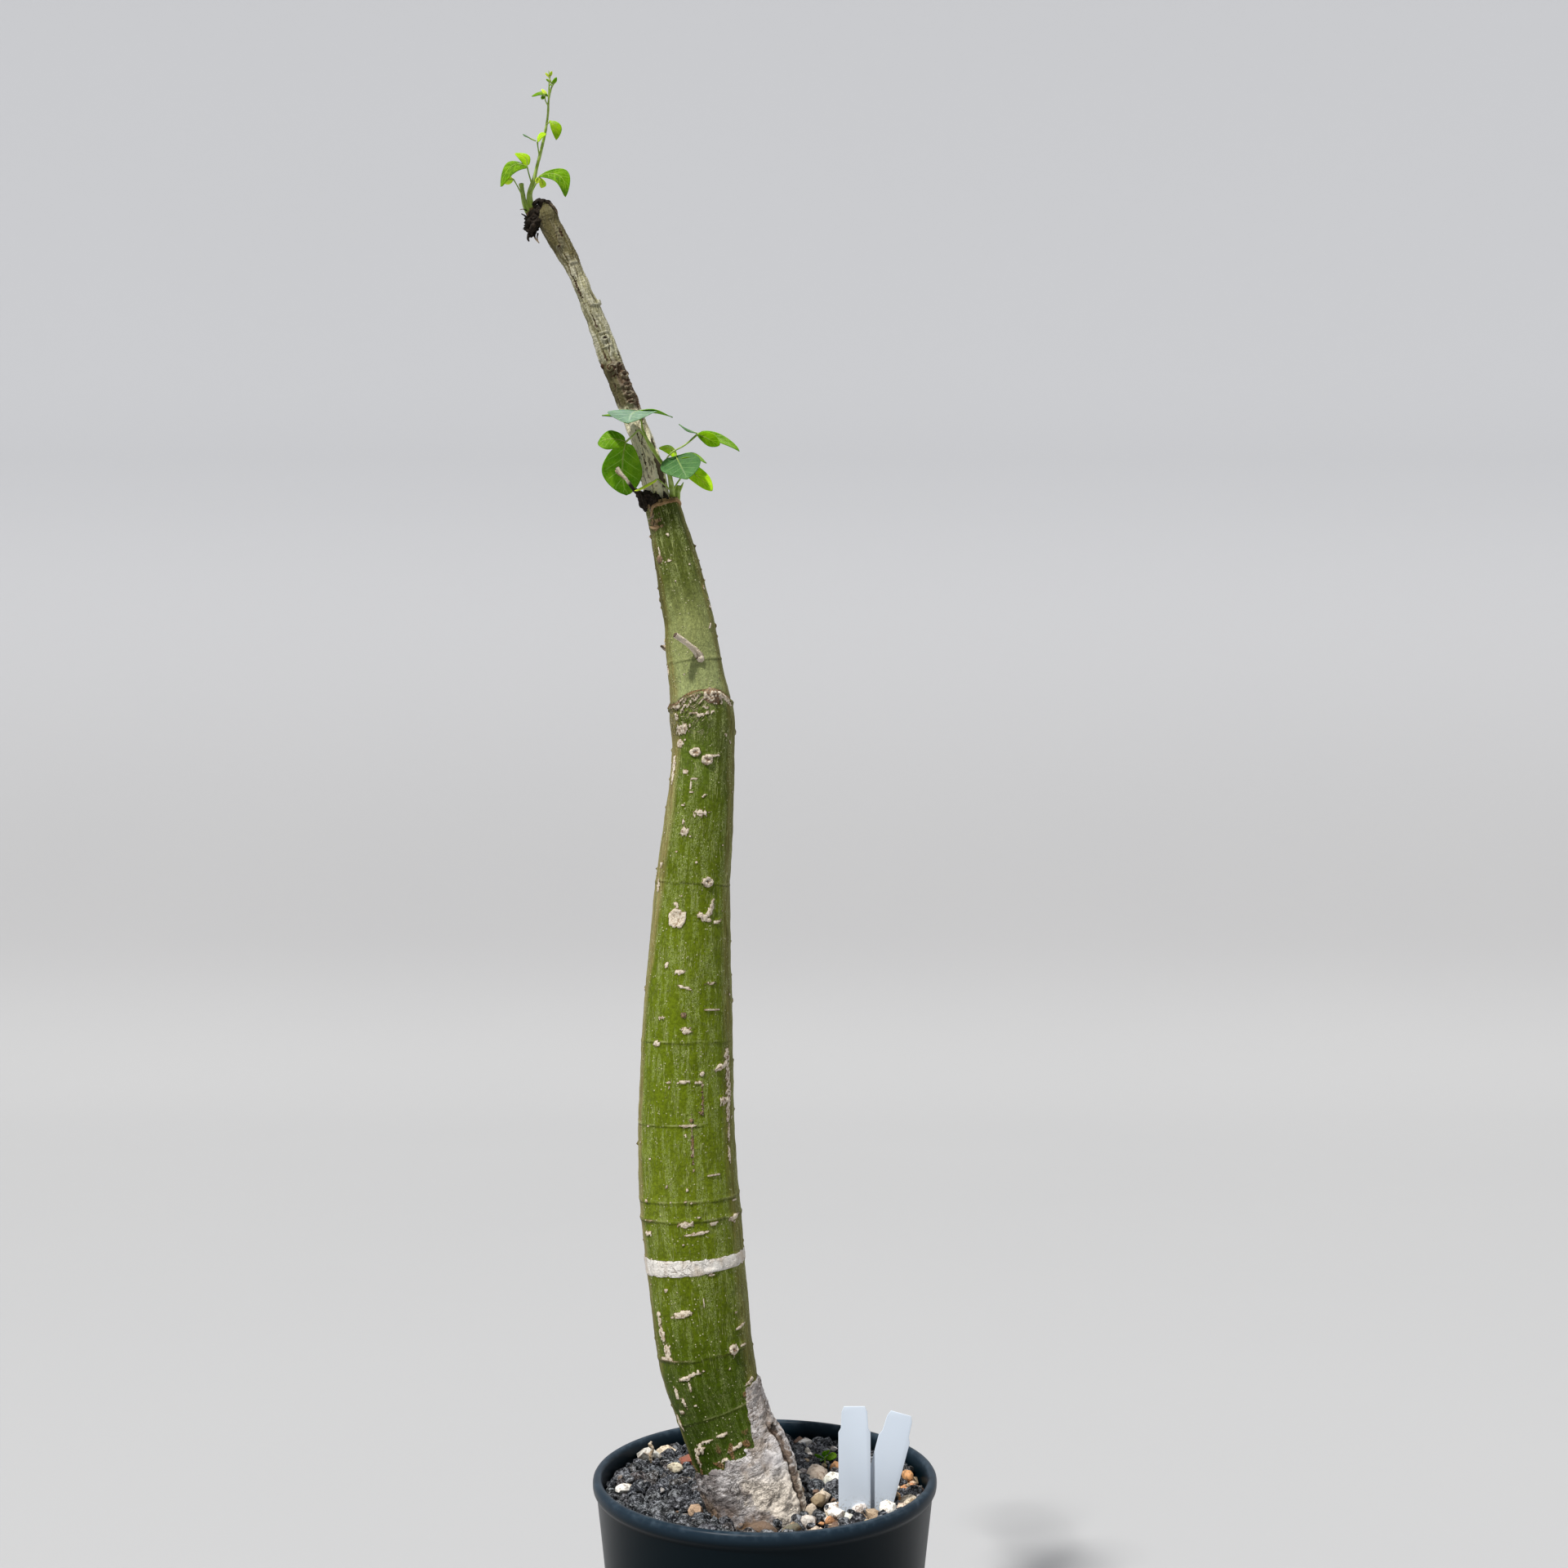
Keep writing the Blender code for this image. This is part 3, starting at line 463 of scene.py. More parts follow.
# Trunk. One living green stem, swollen and grey-barked at the foot, leaning left and then
# right as it rises, cut off square at the top. Lenticels, leaf scars, cork patches and a
# white corky band stand on its thin warty skin. It grows in one piece from the roots.
TRUNK_STATIONS = [
    (104, 8, -31, 17.0), (112, 6.5, -31, 20.5), (128, 2, -30.5, 22.5), (146, -3.5, -30, 23.6),
    (168, -10.2, -29, 24.3), (182, -16.6, -28.6, 22.8), (199, -23.2, -28, 22.7),
    (215, -28, -27.2, 24.1),
    (232, -31, -26.7, 24.5), (265, -34.8, -25, 25.1), (298, -37.8, -23.4, 25.7),
    (331, -39.8, -21.7, 25.0),
    (365, -40.1, -19.9, 24.0), (398, -39.5, -18.1, 23.0), (431, -38.6, -16.1, 21.1),
    (465, -37, -14, 19.4),
    (499, -34, -12, 18.0), (533, -32.1, -10, 16.3), (550, -32.6, -9, 16.9), (567, -34.6, -8.2, 14.8),
    (584, -37.1, -7.4, 14.1), (601, -39.3, -6.7, 13.2), (618, -43.2, -5.9, 12.5),
    (635, -47, -5.1, 11.3),
    (652, -50.9, -4.3, 9.7), (663.5, -53.8, -3.9, 9.3),
]
TRUNK_SIDES = 160
BAND_HALF = 3
NODE_RING = 556.6
# Seeds of the marks in front, of those scattered over the back and of the small specks
FRONT_SEED, BACK_SEED, SPECK_SEED = 200, 400, 600
BACK_MARKS = 64
CORK_SPECKS = 150
# Rings: height on the middle line, half height, how far it stands out, how corky, and its sides
TRUNK_RINGS = [
    (227.6, 0.6, 0.50, 0.60, -95, 62), (198.4, 0.7, 0.30, 0.35, -90, 80),
    (272.9, 3.7, 0.45, 1.0, -181, 181),
    (295.4, 0.9, 0.55, 0.45, -181, 181), (305.4, 0.6, 0.40, 0.40, -100, 100),
    (343.6, 0.4, 0.20, 0.22, -95, 30),
    (384.6, 0.5, 0.25, 0.22, -95, 75), (464.6, 0.5, 0.30, 0.30, -100, 95),
    (556.6, 1.1, 0.9, 0.55, -181, 181),
    (579.8, 0.6, 0.35, 0.18, -95, 100), (248.0, 0.5, 0.25, 0.20, 100, 170),
    (330.0, 0.6, 0.3, 0.35, 110, 181),
    (420.0, 0.6, 0.3, 0.35, -181, -110), (505.0, 0.6, 0.3, 0.3, 100, 181),
    (618.0, 0.5, 0.25, 0.3, -181, -100),
]
# Marks: height, side in degrees from the front, half width, half height, lean in degrees, and kind
TRUNK_MARKS = [
    (561.4, 27, 4.3, 3.7, 0, "knob"), (552.8, -8, 4.2, 0.5, 6, "dash"),
    (551.6, 3, 2.6, 0.7, 10, "cork"),
    (559.6, -33, 3.6, 0.55, 38, "dash"), (558.0, -29, 3.2, 0.45, 40, "dash"),
    (560.2, -3, 3.4, 0.55, 42, "dash"), (558.6, 4, 3.0, 0.5, 45, "dash"),
    (559.3, -13, 3.0, 0.45, 40, "dash"), (556.4, -20, 3.0, 0.5, 40, "dash"),
    (555.4, -44, 2.4, 1.0, 20, "cork"), (556.2, -27, 1.8, 0.9, 30, "cork"),
    (551.0, -3, 1.8, 0.9, 0, "cork"), (555.2, 10, 2.2, 0.8, -20, "cork"),
    (553.0, 22, 1.6, 0.8, 40, "cork"), (552.4, 13, 1.2, 1.2, 0, "cork"),
    (550.4, -48, 1.6, 1.8, 0, "cork"), (554.0, -34, 2.6, 0.5, 50, "dash"),
    (557.4, -50, 2.6, 0.6, 30, "dash"), (560.6, 49, 3.8, 1.2, -36, "cork"),
    (557.8, 62, 3.0, 1.1, -36, "cork"), (558.8, 34, 2.6, 1.6, -20, "hollow"),
    (556.4, -88, 1.3, 1.4, 0, "bud"), (544.1, -37, 5.3, 3.1, 5, "cork"),
    (537.0, -44, 3.0, 2.2, 0, "cork"), (526.5, -57, 1.6, 5.5, 0, "cork"),
    (519.0, -58, 1.3, 3.5, 0, "cork"),
    (532.3, -11, 2.9, 2.2, 0, "scar"), (528.5, 11, 2.9, 2.5, 0, "scar"),
    (530.6, 23, 3.7, 0.8, 8, "dash"),
    (522.3, -28, 2.5, 1.6, 0, "cork"), (515.6, -15, 0.45, 3.7, 0, "dash"),
    (518.9, -9, 2.5, 0.5, 0, "dash"),
    (511.6, -13, 1.6, 0.5, 0, "dash"), (510.0, 8, 1.6, 0.6, 30, "dash"),
    (505.0, -26, 1.4, 0.5, 0, "dash"),
    (501.0, 4, 3.9, 1.9, 3, "cork"), (491.8, -20, 2.3, 2.8, 20, "cork"),
    (496.6, -23, 0.8, 1.6, 0, "cork"),
    (466.1, 24, 2.9, 2.6, 0, "scar"), (463.6, -61, 1.6, 3.6, 0, "cork"),
    (475.0, -60, 1.2, 2.0, 0, "cork"),
    (447.9, -19, 5.0, 4.9, 0, "plate"), (454.6, -21, 1.6, 1.2, 0, "cork"),
    (451.5, 30, 1.6, 4.2, -25, "cork"),
    (447.6, 22, 4.4, 1.6, -25, "cork"), (449.4, 15, 2.4, 1.4, -35, "cork"),
    (445.6, 42, 3.6, 1.0, 25, "cork"),
    (455.8, 33, 0.8, 2.6, -10, "cork"), (432.0, 39, 2.5, 0.5, 0, "dash"),
    (420.9, -10, 3.3, 1.4, 10, "cork"),
    (424.0, -30, 1.4, 2.0, 0, "cork"), (413.1, -3, 4.1, 0.8, -12, "dash"),
    (414.8, 33, 7.8, 0.55, 0, "dash"),
    (401.7, 35, 4.7, 0.75, 0, "dash"), (397.6, -34, 1.2, 1.2, 0, "cork"),
    (399.3, -3, 1.5, 1.5, 0, "bud"),
    (391.5, 1, 3.0, 2.4, 0, "cork"), (384.4, -38, 3.2, 1.6, 0, "cork"),
    (372.2, 45, 2.9, 2.0, 0, "cork"),
    (377.0, 61, 2.6, 4.8, 0, "cork"), (372.6, 50, 5.0, 1.5, 10, "cork"),
    (367.6, 62, 2.3, 6.4, 0, "cork"),
    (358.0, 62, 2.4, 7.2, 0, "cork"), (355.3, 52, 3.4, 2.4, 0, "cork"),
    (348.0, 60, 2.0, 5.6, 0, "cork"),
    (338.0, 60, 1.5, 4.6, 0, "cork"), (328.0, 59, 1.3, 4.6, 0, "cork"),
    (369.8, 22, 1.8, 1.2, 0, "cork"),
    (365.7, -19, 2.0, 0.6, 0, "dash"), (365.9, -1, 3.4, 1.0, 5, "cork"),
    (365.7, 16, 4.2, 0.6, 0, "dash"),
    (357.2, 22, 0.55, 7.0, 0, "crack"), (350.4, 20, 1.3, 0.9, 0, "bud"), (346.9, 8, 1.1, 1.0, 0, "bud"),
    (344.0, 4, 5.1, 0.9, 0, "dash"), (333.4, 9, 0.7, 9.4, 0, "crack"),
    (319.0, 32, 4.9, 0.75, 0, "dash"),
    (296.5, 59, 4.9, 1.7, 10, "cork"), (305.0, 62, 2.6, 0.7, 0, "dash"),
    (305.0, -55, 2.4, 0.6, 0, "dash"),
    (295.0, -3, 3.9, 1.5, 4, "cork"), (295.2, 27, 2.6, 1.1, 4, "cork"),
    (288.5, -56, 4.0, 1.5, 0, "cork"),
    (290.5, 7, 8.2, 0.95, 4, "dash"), (272.0, 20, 4.9, 0.8, 0, "dash"),
    (270.2, 21, 2.4, 0.7, 0, "dash"),
    (261.3, -37, 1.6, 1.3, 0, "cork"), (256.4, 9, 0.4, 3.7, 0, "dash"),
    (250.1, -19, 6.3, 1.9, 10, "lens"),
    (246.0, -54, 1.8, 4.0, 0, "cork"), (238.4, -53, 2.4, 6.0, 8, "cork"),
    (230.0, -47, 2.8, 3.8, 0, "cork"),
    (242.1, 53, 5.5, 0.95, 14, "dash"), (231.9, 39, 2.6, 2.6, 0, "scar"),
    (232.4, 52, 4.6, 0.6, 8, "dash"),
    (226.4, -51, 5.7, 0.9, 0, "dash"), (220.4, -15, 6.5, 1.1, 14, "cork"),
    (217.6, -28, 3.4, 1.4, 0, "cork"),
    (209.7, -45, 1.4, 3.9, 0, "cork"), (205.0, -37, 1.2, 3.0, 0, "cork"),
    (199.6, -47, 2.6, 1.2, 0, "cork"),
    (214.0, -22, 0.8, 2.8, 0, "cork"), (214.6, 58, 4.6, 1.2, 16, "cork"),
    (189.0, 68, 1.8, 3.4, 0, "hollow"), (181.6, -40, 3.8, 2.8, 20, "cork"),
    (176.0, -50, 1.5, 5.0, 0, "cork"), (186.4, -26, 4.2, 1.0, 0, "cork"),
    (190.4, -3, 3.6, 1.0, 0, "cork"),
    (184.4, 8, 5.0, 1.0, 10, "cork"), (178.0, -12, 3.4, 1.0, 10, "cork"),
    (193.0, -62, 1.6, 5.0, 12, "cork"),
    (598.0, 51, 0.6, 3.4, -35, "dash"), (632.5, -45, 2.2, 2.0, 0, "bud"),
    (631.6, -16, 3.4, 0.6, 0, "dash"),
    (636.5, -40, 0.6, 2.2, 0, "cork"), (657.5, -45, 0.8, 3.4, 6, "crack"),
    (645.4, -8, 0.9, 0.9, 0, "cork"), (608.0, 70, 1.6, 1.4, 0, "cork"),
    (618.0, 62, 0.7, 1.6, 0, "dash"), (590.0, -80, 1.4, 1.2, 0, "cork"),
    (575.0, -72, 1.0, 2.6, 0, "cork"),
]
# Where the grey bark of the foot ends, by the side in degrees
BARK_EDGE = [
    (-180, 184), (-140, 176), (-100, 166), (-80, 164), (-46, 169), (-19, 176), (7, 180), (29, 184),
    (34, 192), (38, 199), (45, 210), (60, 213), (80, 214), (105, 207), (140, 193), (180, 184),
]


def smooth_line(rows, step):
    """A smooth curve through rows of (right, back, up, radius) in millimetres, one step apart."""
    rows = np.array(rows, float)
    padded = np.vstack((2 * rows[0] - rows[1], rows, 2 * rows[-1] - rows[-2]))
    padded[0, 3] = rows[0, 3]
    padded[-1, 3] = rows[-1, 3]
    made = []
    for index in range(1, len(padded) - 2):
        before, here, there, after = padded[index - 1:index + 3]
        count = max(1, round(float(np.linalg.norm((there - here)[:3])) / step))
        for part in range(count):
            t = part / count
            pull = (there - before) * 0.5 * (t ** 3 - 2 * t ** 2 + t)
            push = (after - here) * 0.5 * (t ** 3 - t ** 2)
            made.append(here * (2 * t ** 3 - 3 * t ** 2 + 1) + there * (3 * t ** 2 - 2 * t ** 3) + pull
                + push)
    made.append(rows[-1])
    return np.array(made)


class Stem:
    """A grid rolled round a middle line and closed at both ends, with room to carve its skin.

    With crowd above 0 its columns stand closer together in front than at the back.
    """

    def __init__(self, name, line, sides, front=(0, -1, 0), crowd=0.0):
        rows = len(line)
        bpy.ops.mesh.primitive_grid_add(x_subdivisions=sides, y_subdivisions=rows - 1, size=0.01,
            location=(0, 0, 0))
        self.thing = named(name)
        centres = line[:, :3]
        along = np.gradient(centres, axis=0)
        self.length = np.concatenate(([0], np.cumsum(np.linalg.norm(np.diff(centres, axis=0), axis=1))))
        along /= np.linalg.norm(along, axis=1)[:, None]
        front = np.array(front, float) - along * (along @ np.array(front, float))[:, None]
        front /= np.linalg.norm(front, axis=1)[:, None]
        right = np.cross(along, front)
        turn = -math.pi + 2 * math.pi * np.arange(sides + 1) / sides
        turn -= crowd * np.sin(turn)
        out = (front[:, None] * np.cos(turn)[None, :, None]
            + right[:, None] * np.sin(turn)[None, :, None])
        self.out = out.reshape(-1, 3)
        self.centre = np.repeat(centres, sides + 1, axis=0)
        self.radius = np.repeat(line[:, 3], sides + 1)
        self.turn = np.tile(turn, rows)
        self.path = np.repeat(self.length, sides + 1)
        self.skin = self.centre + self.out * self.radius[:, None]
        self.rise = np.zeros(len(self.skin))
        self.paint = {}

    def colour(self, name, values):
        """Adds to a paint where these values are the stronger."""
        self.paint[name] = np.maximum(self.paint[name], values)

    def straight(self):
        """Each place as it would be on a straight upright stem, so that patterns follow the stem."""
        return np.stack((np.sin(self.turn) * self.radius, -np.cos(self.turn) * self.radius, self.path),
            axis=1) / 1000

    def finish(self):
        mesh = self.thing.data
        straight = mesh.attributes.new("straight", "FLOAT_VECTOR", "POINT")
        straight.data.foreach_set("vector", self.straight().astype(np.float32).ravel())
        for name, values in self.paint.items():
            layer = mesh.attributes.new(name, "FLOAT", "POINT")
            layer.data.foreach_set("value", np.clip(values, 0, 1).astype(np.float32))
        write_points(self.thing, (self.skin + self.out * self.rise[:, None]) / 1000)
        select_only(self.thing)
        bpy.ops.object.mode_set(mode="EDIT")
        bpy.ops.mesh.select_all(action="SELECT")
        bpy.ops.mesh.remove_doubles(threshold=0.000004)
        bpy.ops.mesh.fill_holes(sides=0)
        bpy.ops.mesh.select_all(action="SELECT")
        bpy.ops.mesh.normals_make_consistent(inside=False)
        bpy.ops.object.mode_set(mode="OBJECT")
        bpy.ops.object.shade_smooth()
        return self.thing


def soft(values, low, high):
    """Runs smoothly from 0 at low to 1 at high; low may be the larger."""
    part = np.clip((values - low) / (high - low), 0, 1)
    return part * part * (3 - 2 * part)


def mark(stem, spot, out, along, wide, tall, lean, kind, seed):
    """Paints and raises one scar, dash, cork patch, bud or crack on a stem."""
    across = np.cross(along, out)
    tilt = math.radians(lean)
    u_way = across * math.cos(tilt) + along * math.sin(tilt)
    v_way = along * math.cos(tilt) - across * math.sin(tilt)
    reach = 1.9 * max(wide, tall) + 1.5
    near = np.nonzero(((stem.skin - spot) ** 2).sum(1) < reach ** 2)[0]
    points = stem.skin[near]
    away = points - spot
    rough = ripple(points, 2.2, seed)
    fine = ripple(points, 1.1, seed + 7)
    u = away @ u_way / wide
    v = away @ v_way / tall
    far = np.hypot(u, v)

    def paint(name, values):
        stem.paint[name][near] = np.maximum(stem.paint[name][near], values)

    if kind == "cork":
        ragged = far + 0.34 * rough + 0.16 * fine
        spread = soft(ragged, 1.12, 0.62)
        paint("cork", spread)
        stem.rise[near] += spread * (0.60 + 0.32 * fine)
        if min(wide, tall) > 1.8:
            paint("dark", 0.6 * soft(far + 0.5 * rough, 0.55, 0.15))
    elif kind == "dash":
        spread = soft(far + 0.16 * rough, 1.12, 0.62)
        paint("cork", spread)
        stem.rise[near] += 0.62 * spread
    elif kind == "lens":
        spread = soft(far + 0.22 * rough, 1.1, 0.7)
        paint("cork", spread)
        stem.rise[near] += 0.85 * spread * (0.8 + 0.4 * rough)
    elif kind == "scar":
        spread = soft(far + 0.15 * rough, 1.2, 0.85)
        lip = np.exp(-((far - 0.72) / 0.28) ** 2)
        paint("cork", spread)
        paint("dark", 0.8 * soft(far + 0.25 * fine, 0.5, 0.25))
        stem.rise[near] += 0.45 * spread + 0.90 * lip * (1 + 0.4 * fine)
    elif kind == "plate":
        spread = soft(far + 0.13 * rough, 1.08, 0.9)
        lip = np.exp(-((far - 0.82) / 0.16) ** 2)
        paint("cork", spread)
        paint("dark", 0.4 * soft(np.abs(far - 0.45) + 0.2 * fine, 0.22, 0.05))
        stem.rise[near] += 0.45 * spread + 0.45 * lip - 0.25 * soft(far, 0.5, 0.1)
    elif kind == "knob":
        dome = np.sqrt(np.clip(1.25 - far ** 2, 0, None))
        folds = np.sin(9.0 * far + 2.0 * np.arctan2(v, u) + 1.3 * rough)
        spread = soft(far + 0.12 * rough, 1.3, 1.0)
        paint("cork", spread)
        # Painted shade: the knob's fold valleys are painted dark.
        paint("dark", 0.85 * soft(folds, 0.1, -0.7) * spread)
        stem.rise[near] += 1.5 * dome + 0.45 * folds * spread
    elif kind == "bud":
        dome = np.clip(1.1 - far ** 2, 0, None)
        paint("dark", 0.85 * soft(far, 1.2, 0.8))
        paint("cork", 0.7 * soft(far, 1.3, 0.9))
        stem.rise[near] += 1.1 * dome
    elif kind == "hollow":
        pit = soft(far + 0.14 * rough, 1.0, 0.75)
        lip = np.exp(-((far - 1.12) / 0.2) ** 2)
        # The pit is painted dark: partly the hollow's own dark, partly painted shade.
        paint("dark", pit)
        paint("cork", lip)
        stem.rise[near] += 0.5 * lip - 0.9 * pit
    elif kind == "crack":
        broken = far + 0.45 * rough + 0.3 * fine
        paint("dark", 0.95 * soft(broken, 0.95, 0.5))
        paint("cork", 0.6 * soft(broken, 1.5, 1.0) * soft(np.abs(u), 3.0, 1.6))
        stem.rise[near] += 0.25 * soft(broken, 1.5, 1.0) - 0.5 * soft(broken, 0.9, 0.4)


stations = [(x, y, z, r) for z, x, y, r in TRUNK_STATIONS]
fine_line = smooth_line(stations, 0.93)
coarse = fine_line[:, 2] < 136
keep = ~coarse
keep[::6] = True
trunk = Stem("trunk_bark", fine_line[keep], TRUNK_SIDES, crowd=0.36)
trunk.paint = {name: np.zeros(len(trunk.skin))
    for name in ("cork", "dark", "bark", "bleach", "tan", "ring", "under", "valley")}
side = np.degrees(trunk.turn)
middle = trunk.centre[:, 2]
trunk.rise += (0.32 * ripple(trunk.skin, 34, 1) + 0.14 * ripple(trunk.skin, 11, 2)
    + 0.05 * ripple(trunk.skin, 3.2, 3))

for number, (level, half, stand, corky, first, last) in enumerate(TRUNK_RINGS):
    wander = 0.7 * np.sin(trunk.turn * 1.0 + number) + 0.35 * ripple(trunk.skin, 9, 60 + number)
    if half > BAND_HALF:
        wander = (0.1 * np.sin(trunk.turn) - 0.6 * np.cos(trunk.turn)
            + 0.22 * ripple(trunk.skin, 7, 60 + number))
    if level == NODE_RING:
        wander += 4.4 * soft(np.cos(trunk.turn - 0.2), 0.45, 1.0)
        groove = np.exp(-(((middle - level - wander) - 1.5) / 0.7) ** 2)
        trunk.rise -= 0.45 * groove
        # Painted shadow: the groove under the node ring is painted dark.
        trunk.colour("under", 1.6 * groove)
        trunk.colour("dark", 0.95 * groove * soft(np.abs(side), 110, 80))
        folds = np.sin(1.5 * (middle - level) + 2.2 * trunk.turn * 6 + 1.2 * ripple(trunk.skin, 5, 61))
        folds = folds * soft(middle, level - 13, level - 2) * soft(middle, level + 1, level - 1)
        folds *= soft(side, -80, -55) * soft(side, 12, -8)
        trunk.rise += 0.35 * folds
        trunk.colour("cork", 0.62 * soft(folds, 0.45, 0.9))
        # Painted shade: the low places between the folds are painted dark.
        trunk.colour("dark", 0.5 * soft(folds, -0.6, -0.95))
    off = np.abs(middle - level - wander) / (half * (1 - 0.14 * np.sin(trunk.turn)))
    within = soft(side, first - 4, first + 8) * soft(side, last + 4, last - 8)
    if half > BAND_HALF:
        stretch = soft(off + 0.06 * ripple(trunk.skin, 2.8, 80), 1.08, 0.9)
        trunk.rise += 0.40 * stretch + 0.16 * stretch * ripple(trunk.skin, 2.6, 81)
        trunk.colour("bleach", stretch)
    else:
        stretch = np.exp(-(off / 1.1) ** 2) * within
        trunk.rise += stand * stretch
        patchy = 0.5 + 0.5 * ripple(trunk.skin, 12, 90 + number)
        trunk.colour("cork", corky * stretch * (0.25 + 1.0 * patchy) * (patchy > 0.45))
        # Each ring gets a painted highlight along its top and a painted shadow just under it.
        away = middle - level - wander
        trunk.colour("ring", np.exp(-((away - 0.2) / 0.55) ** 2) * within * (0.35 + 0.75 * patchy))
        trunk.colour("under", 0.9 * np.exp(-((away + 0.9) / 0.55) ** 2) * within)

edge_side, edge_level = np.array(BARK_EDGE, float).T
edge = (np.interp(side, edge_side, edge_level) + 1.6 * ripple(trunk.skin, 9, 5)
    + 0.8 * ripple(trunk.skin, 3.5, 6))
above = trunk.skin[:, 2] - edge
bark = soft(above, 0.7, -0.7)
trunk.paint["bark"] = bark
scabs = (soft(ripple(trunk.skin, 6, 77), 0.15, 0.6) * soft(above, 15, 3) * (above > 0)
    * soft(side, 70, 40))
trunk.colour("dark", 0.62 * scabs)
trunk.colour("cork", 0.62 * scabs * soft(ripple(trunk.skin, 2.6, 78), 0.0, 0.5))
trunk.rise += 0.45 * scabs
wrinkle = 1 - np.abs(ripple(trunk.skin * (1, 1, 1.5), 7.5, 7))
crease = 1 - np.abs(ripple(trunk.skin, 3.4, 8))
trunk.rise += bark * (0.45 + 0.65 * wrinkle ** 2 + 0.30 * crease ** 2 + 0.5 * ripple(trunk.skin, 13, 9))
foot = trunk.skin[:, 2]
fold = (side - np.interp(foot, (150, 192), (67, 61))) * 0.42 + 0.55 * ripple(trunk.skin, 7, 10)
within = soft(foot, 145, 152) * soft(foot, 197, 189)
crease = np.exp(-(fold / (0.8 + 0.8 * soft(foot, 182, 190))) ** 2) * within
trunk.rise += (1.7 * within * np.exp(-((fold - 4.2) / 2.6) ** 2)
    + 0.5 * within * np.exp(-((fold + 2.4) / 1.3) ** 2) - 1.1 * crease)
# Painted shade: the crease beside the fold's ridge is painted dark.
trunk.colour("dark", 0.95 * crease)
# The valley beside the ridge is painted brown: partly the bark's colour, partly painted shade.
trunk.paint["valley"] = (within
    * (np.exp(-((fold - 0.6) / 2.6) ** 2) * (0.75 + 0.5 * ripple(trunk.skin, 5, 16))
        + 0.5 * soft(ripple(trunk.skin, 4, 17), 0.1, 0.6) * soft(fold, -1, 2)))
lower = soft(middle, 480, 380)
flank = (np.maximum(soft(-side, 26 + 22 * lower, 64 + 16 * lower), 0.9 * soft(side, 35, 66))
    * (1 - 0.5 * soft(np.abs(side), 100, 150)))
trunk.paint["tan"] = flank

trunk.colour("dark", 1.2 * soft(middle + 0.8 * ripple(trunk.skin, 5, 12), 660.2, 661.8))
flaky = soft(middle + 0.8 * ripple(trunk.skin, 4, 13), 648.0, 649.4)
flaky *= soft(middle + 3.0 * ripple(trunk.skin, 2.4, 18), 657.5, 654.0)
flaky *= soft(np.abs(side + 40) + 9 * ripple(trunk.skin, 3.0, 19), 25, 16)
trunk.colour("dark", 0.7 * flaky)
trunk.colour("cork", 0.8 * flaky * soft(ripple(trunk.skin, 3, 14), 0.0, 0.5))
trunk.rise += flaky * 0.6 * ripple(trunk.skin, 3.4, 15)


def on_stem(table, level, degrees):
    """The skin at a height and a side, with the way out and the way up there."""
    heights, rights, backs, sizes = np.array(table, float).T
    centre = np.array((np.interp(level, heights, rights), np.interp(level, heights, backs), level))
    ahead = np.array((np.interp(level + 6, heights, rights), np.interp(level + 6, heights, backs),
        level + 6))
    behind = np.array((np.interp(level - 6, heights, rights), np.interp(level - 6, heights, backs),
        level - 6))
    up = (ahead - behind) / np.linalg.norm(ahead - behind)
    turn = math.radians(degrees)
    size = np.interp(level, heights, sizes)
    out = np.array((math.sin(turn), -math.cos(turn), 0.0))
    spot = centre + out * np.array((size / up[2], size, 0))
    out -= up * (out @ up)
    return spot, out / np.linalg.norm(out), up


for number, (level, degrees, wide, tall, lean, kind) in enumerate(TRUNK_MARKS):
    mark(trunk, *on_stem(TRUNK_STATIONS, level, degrees), wide, tall, lean, kind, FRONT_SEED + number)
rng = random.Random(7)
for number in range(BACK_MARKS):
    level = rng.uniform(195, 650)
    degrees = rng.choice((-1, 1)) * rng.uniform(80, 180)
    kind = rng.choice(("dash", "dash", "dash", "bud", "bud", "cork"))
    wide = {"dash": rng.uniform(1.6, 5.5), "cork": rng.uniform(1.0, 2.6), "bud": 0.9}[kind]
    tall = {"dash": rng.uniform(0.4, 0.7), "cork": rng.uniform(0.7, 2.2), "bud": 0.9}[kind]
    mark(trunk, *on_stem(TRUNK_STATIONS, level, degrees), wide, tall, rng.uniform(-10, 10), kind,
        BACK_SEED + number)
for number in range(CORK_SPECKS):
    level = rng.uniform(190, 655)
    size = rng.uniform(0.35, 0.72)
    place = on_stem(TRUNK_STATIONS, level, rng.uniform(-180, 180))
    mark(trunk, *place, size * rng.uniform(1, 1.8), size, rng.uniform(-20, 20), "cork",
        SPECK_SEED + number)
trunk_bark = trunk.finish()

# The skin's green by height. The pale band just above the node ring is partly the skin's paler colour
# and partly a painted highlight.
GREEN_AND_HIGHLIGHT_BY_HEIGHT = [
    (0.165, (0.026, 0.048, 0.0005)), (0.205, (0.044, 0.072, 0.001)), (0.250, (0.088, 0.122, 0.002)),
    (0.300, (0.122, 0.160, 0.006)),
    (0.360, (0.108, 0.148, 0.003)), (0.440, (0.106, 0.144, 0.004)), (0.500, (0.080, 0.112, 0.002)),
    (0.530, (0.078, 0.116, 0.009)),
    (0.554, (0.092, 0.126, 0.016)), (0.558, (0.270, 0.305, 0.126)), (0.598, (0.235, 0.258, 0.090)),
    (0.622, (0.085, 0.104, 0.016)), (0.660, (0.052, 0.072, 0.005)),
]
SHADED_GREEN = (0.060, 0.072, 0.006)
OLIVE_DARK = (0.085, 0.074, 0.010)
OLIVE_LIGHT = (0.190, 0.165, 0.040)
LIT_TAN_DARK = (0.150, 0.125, 0.036)
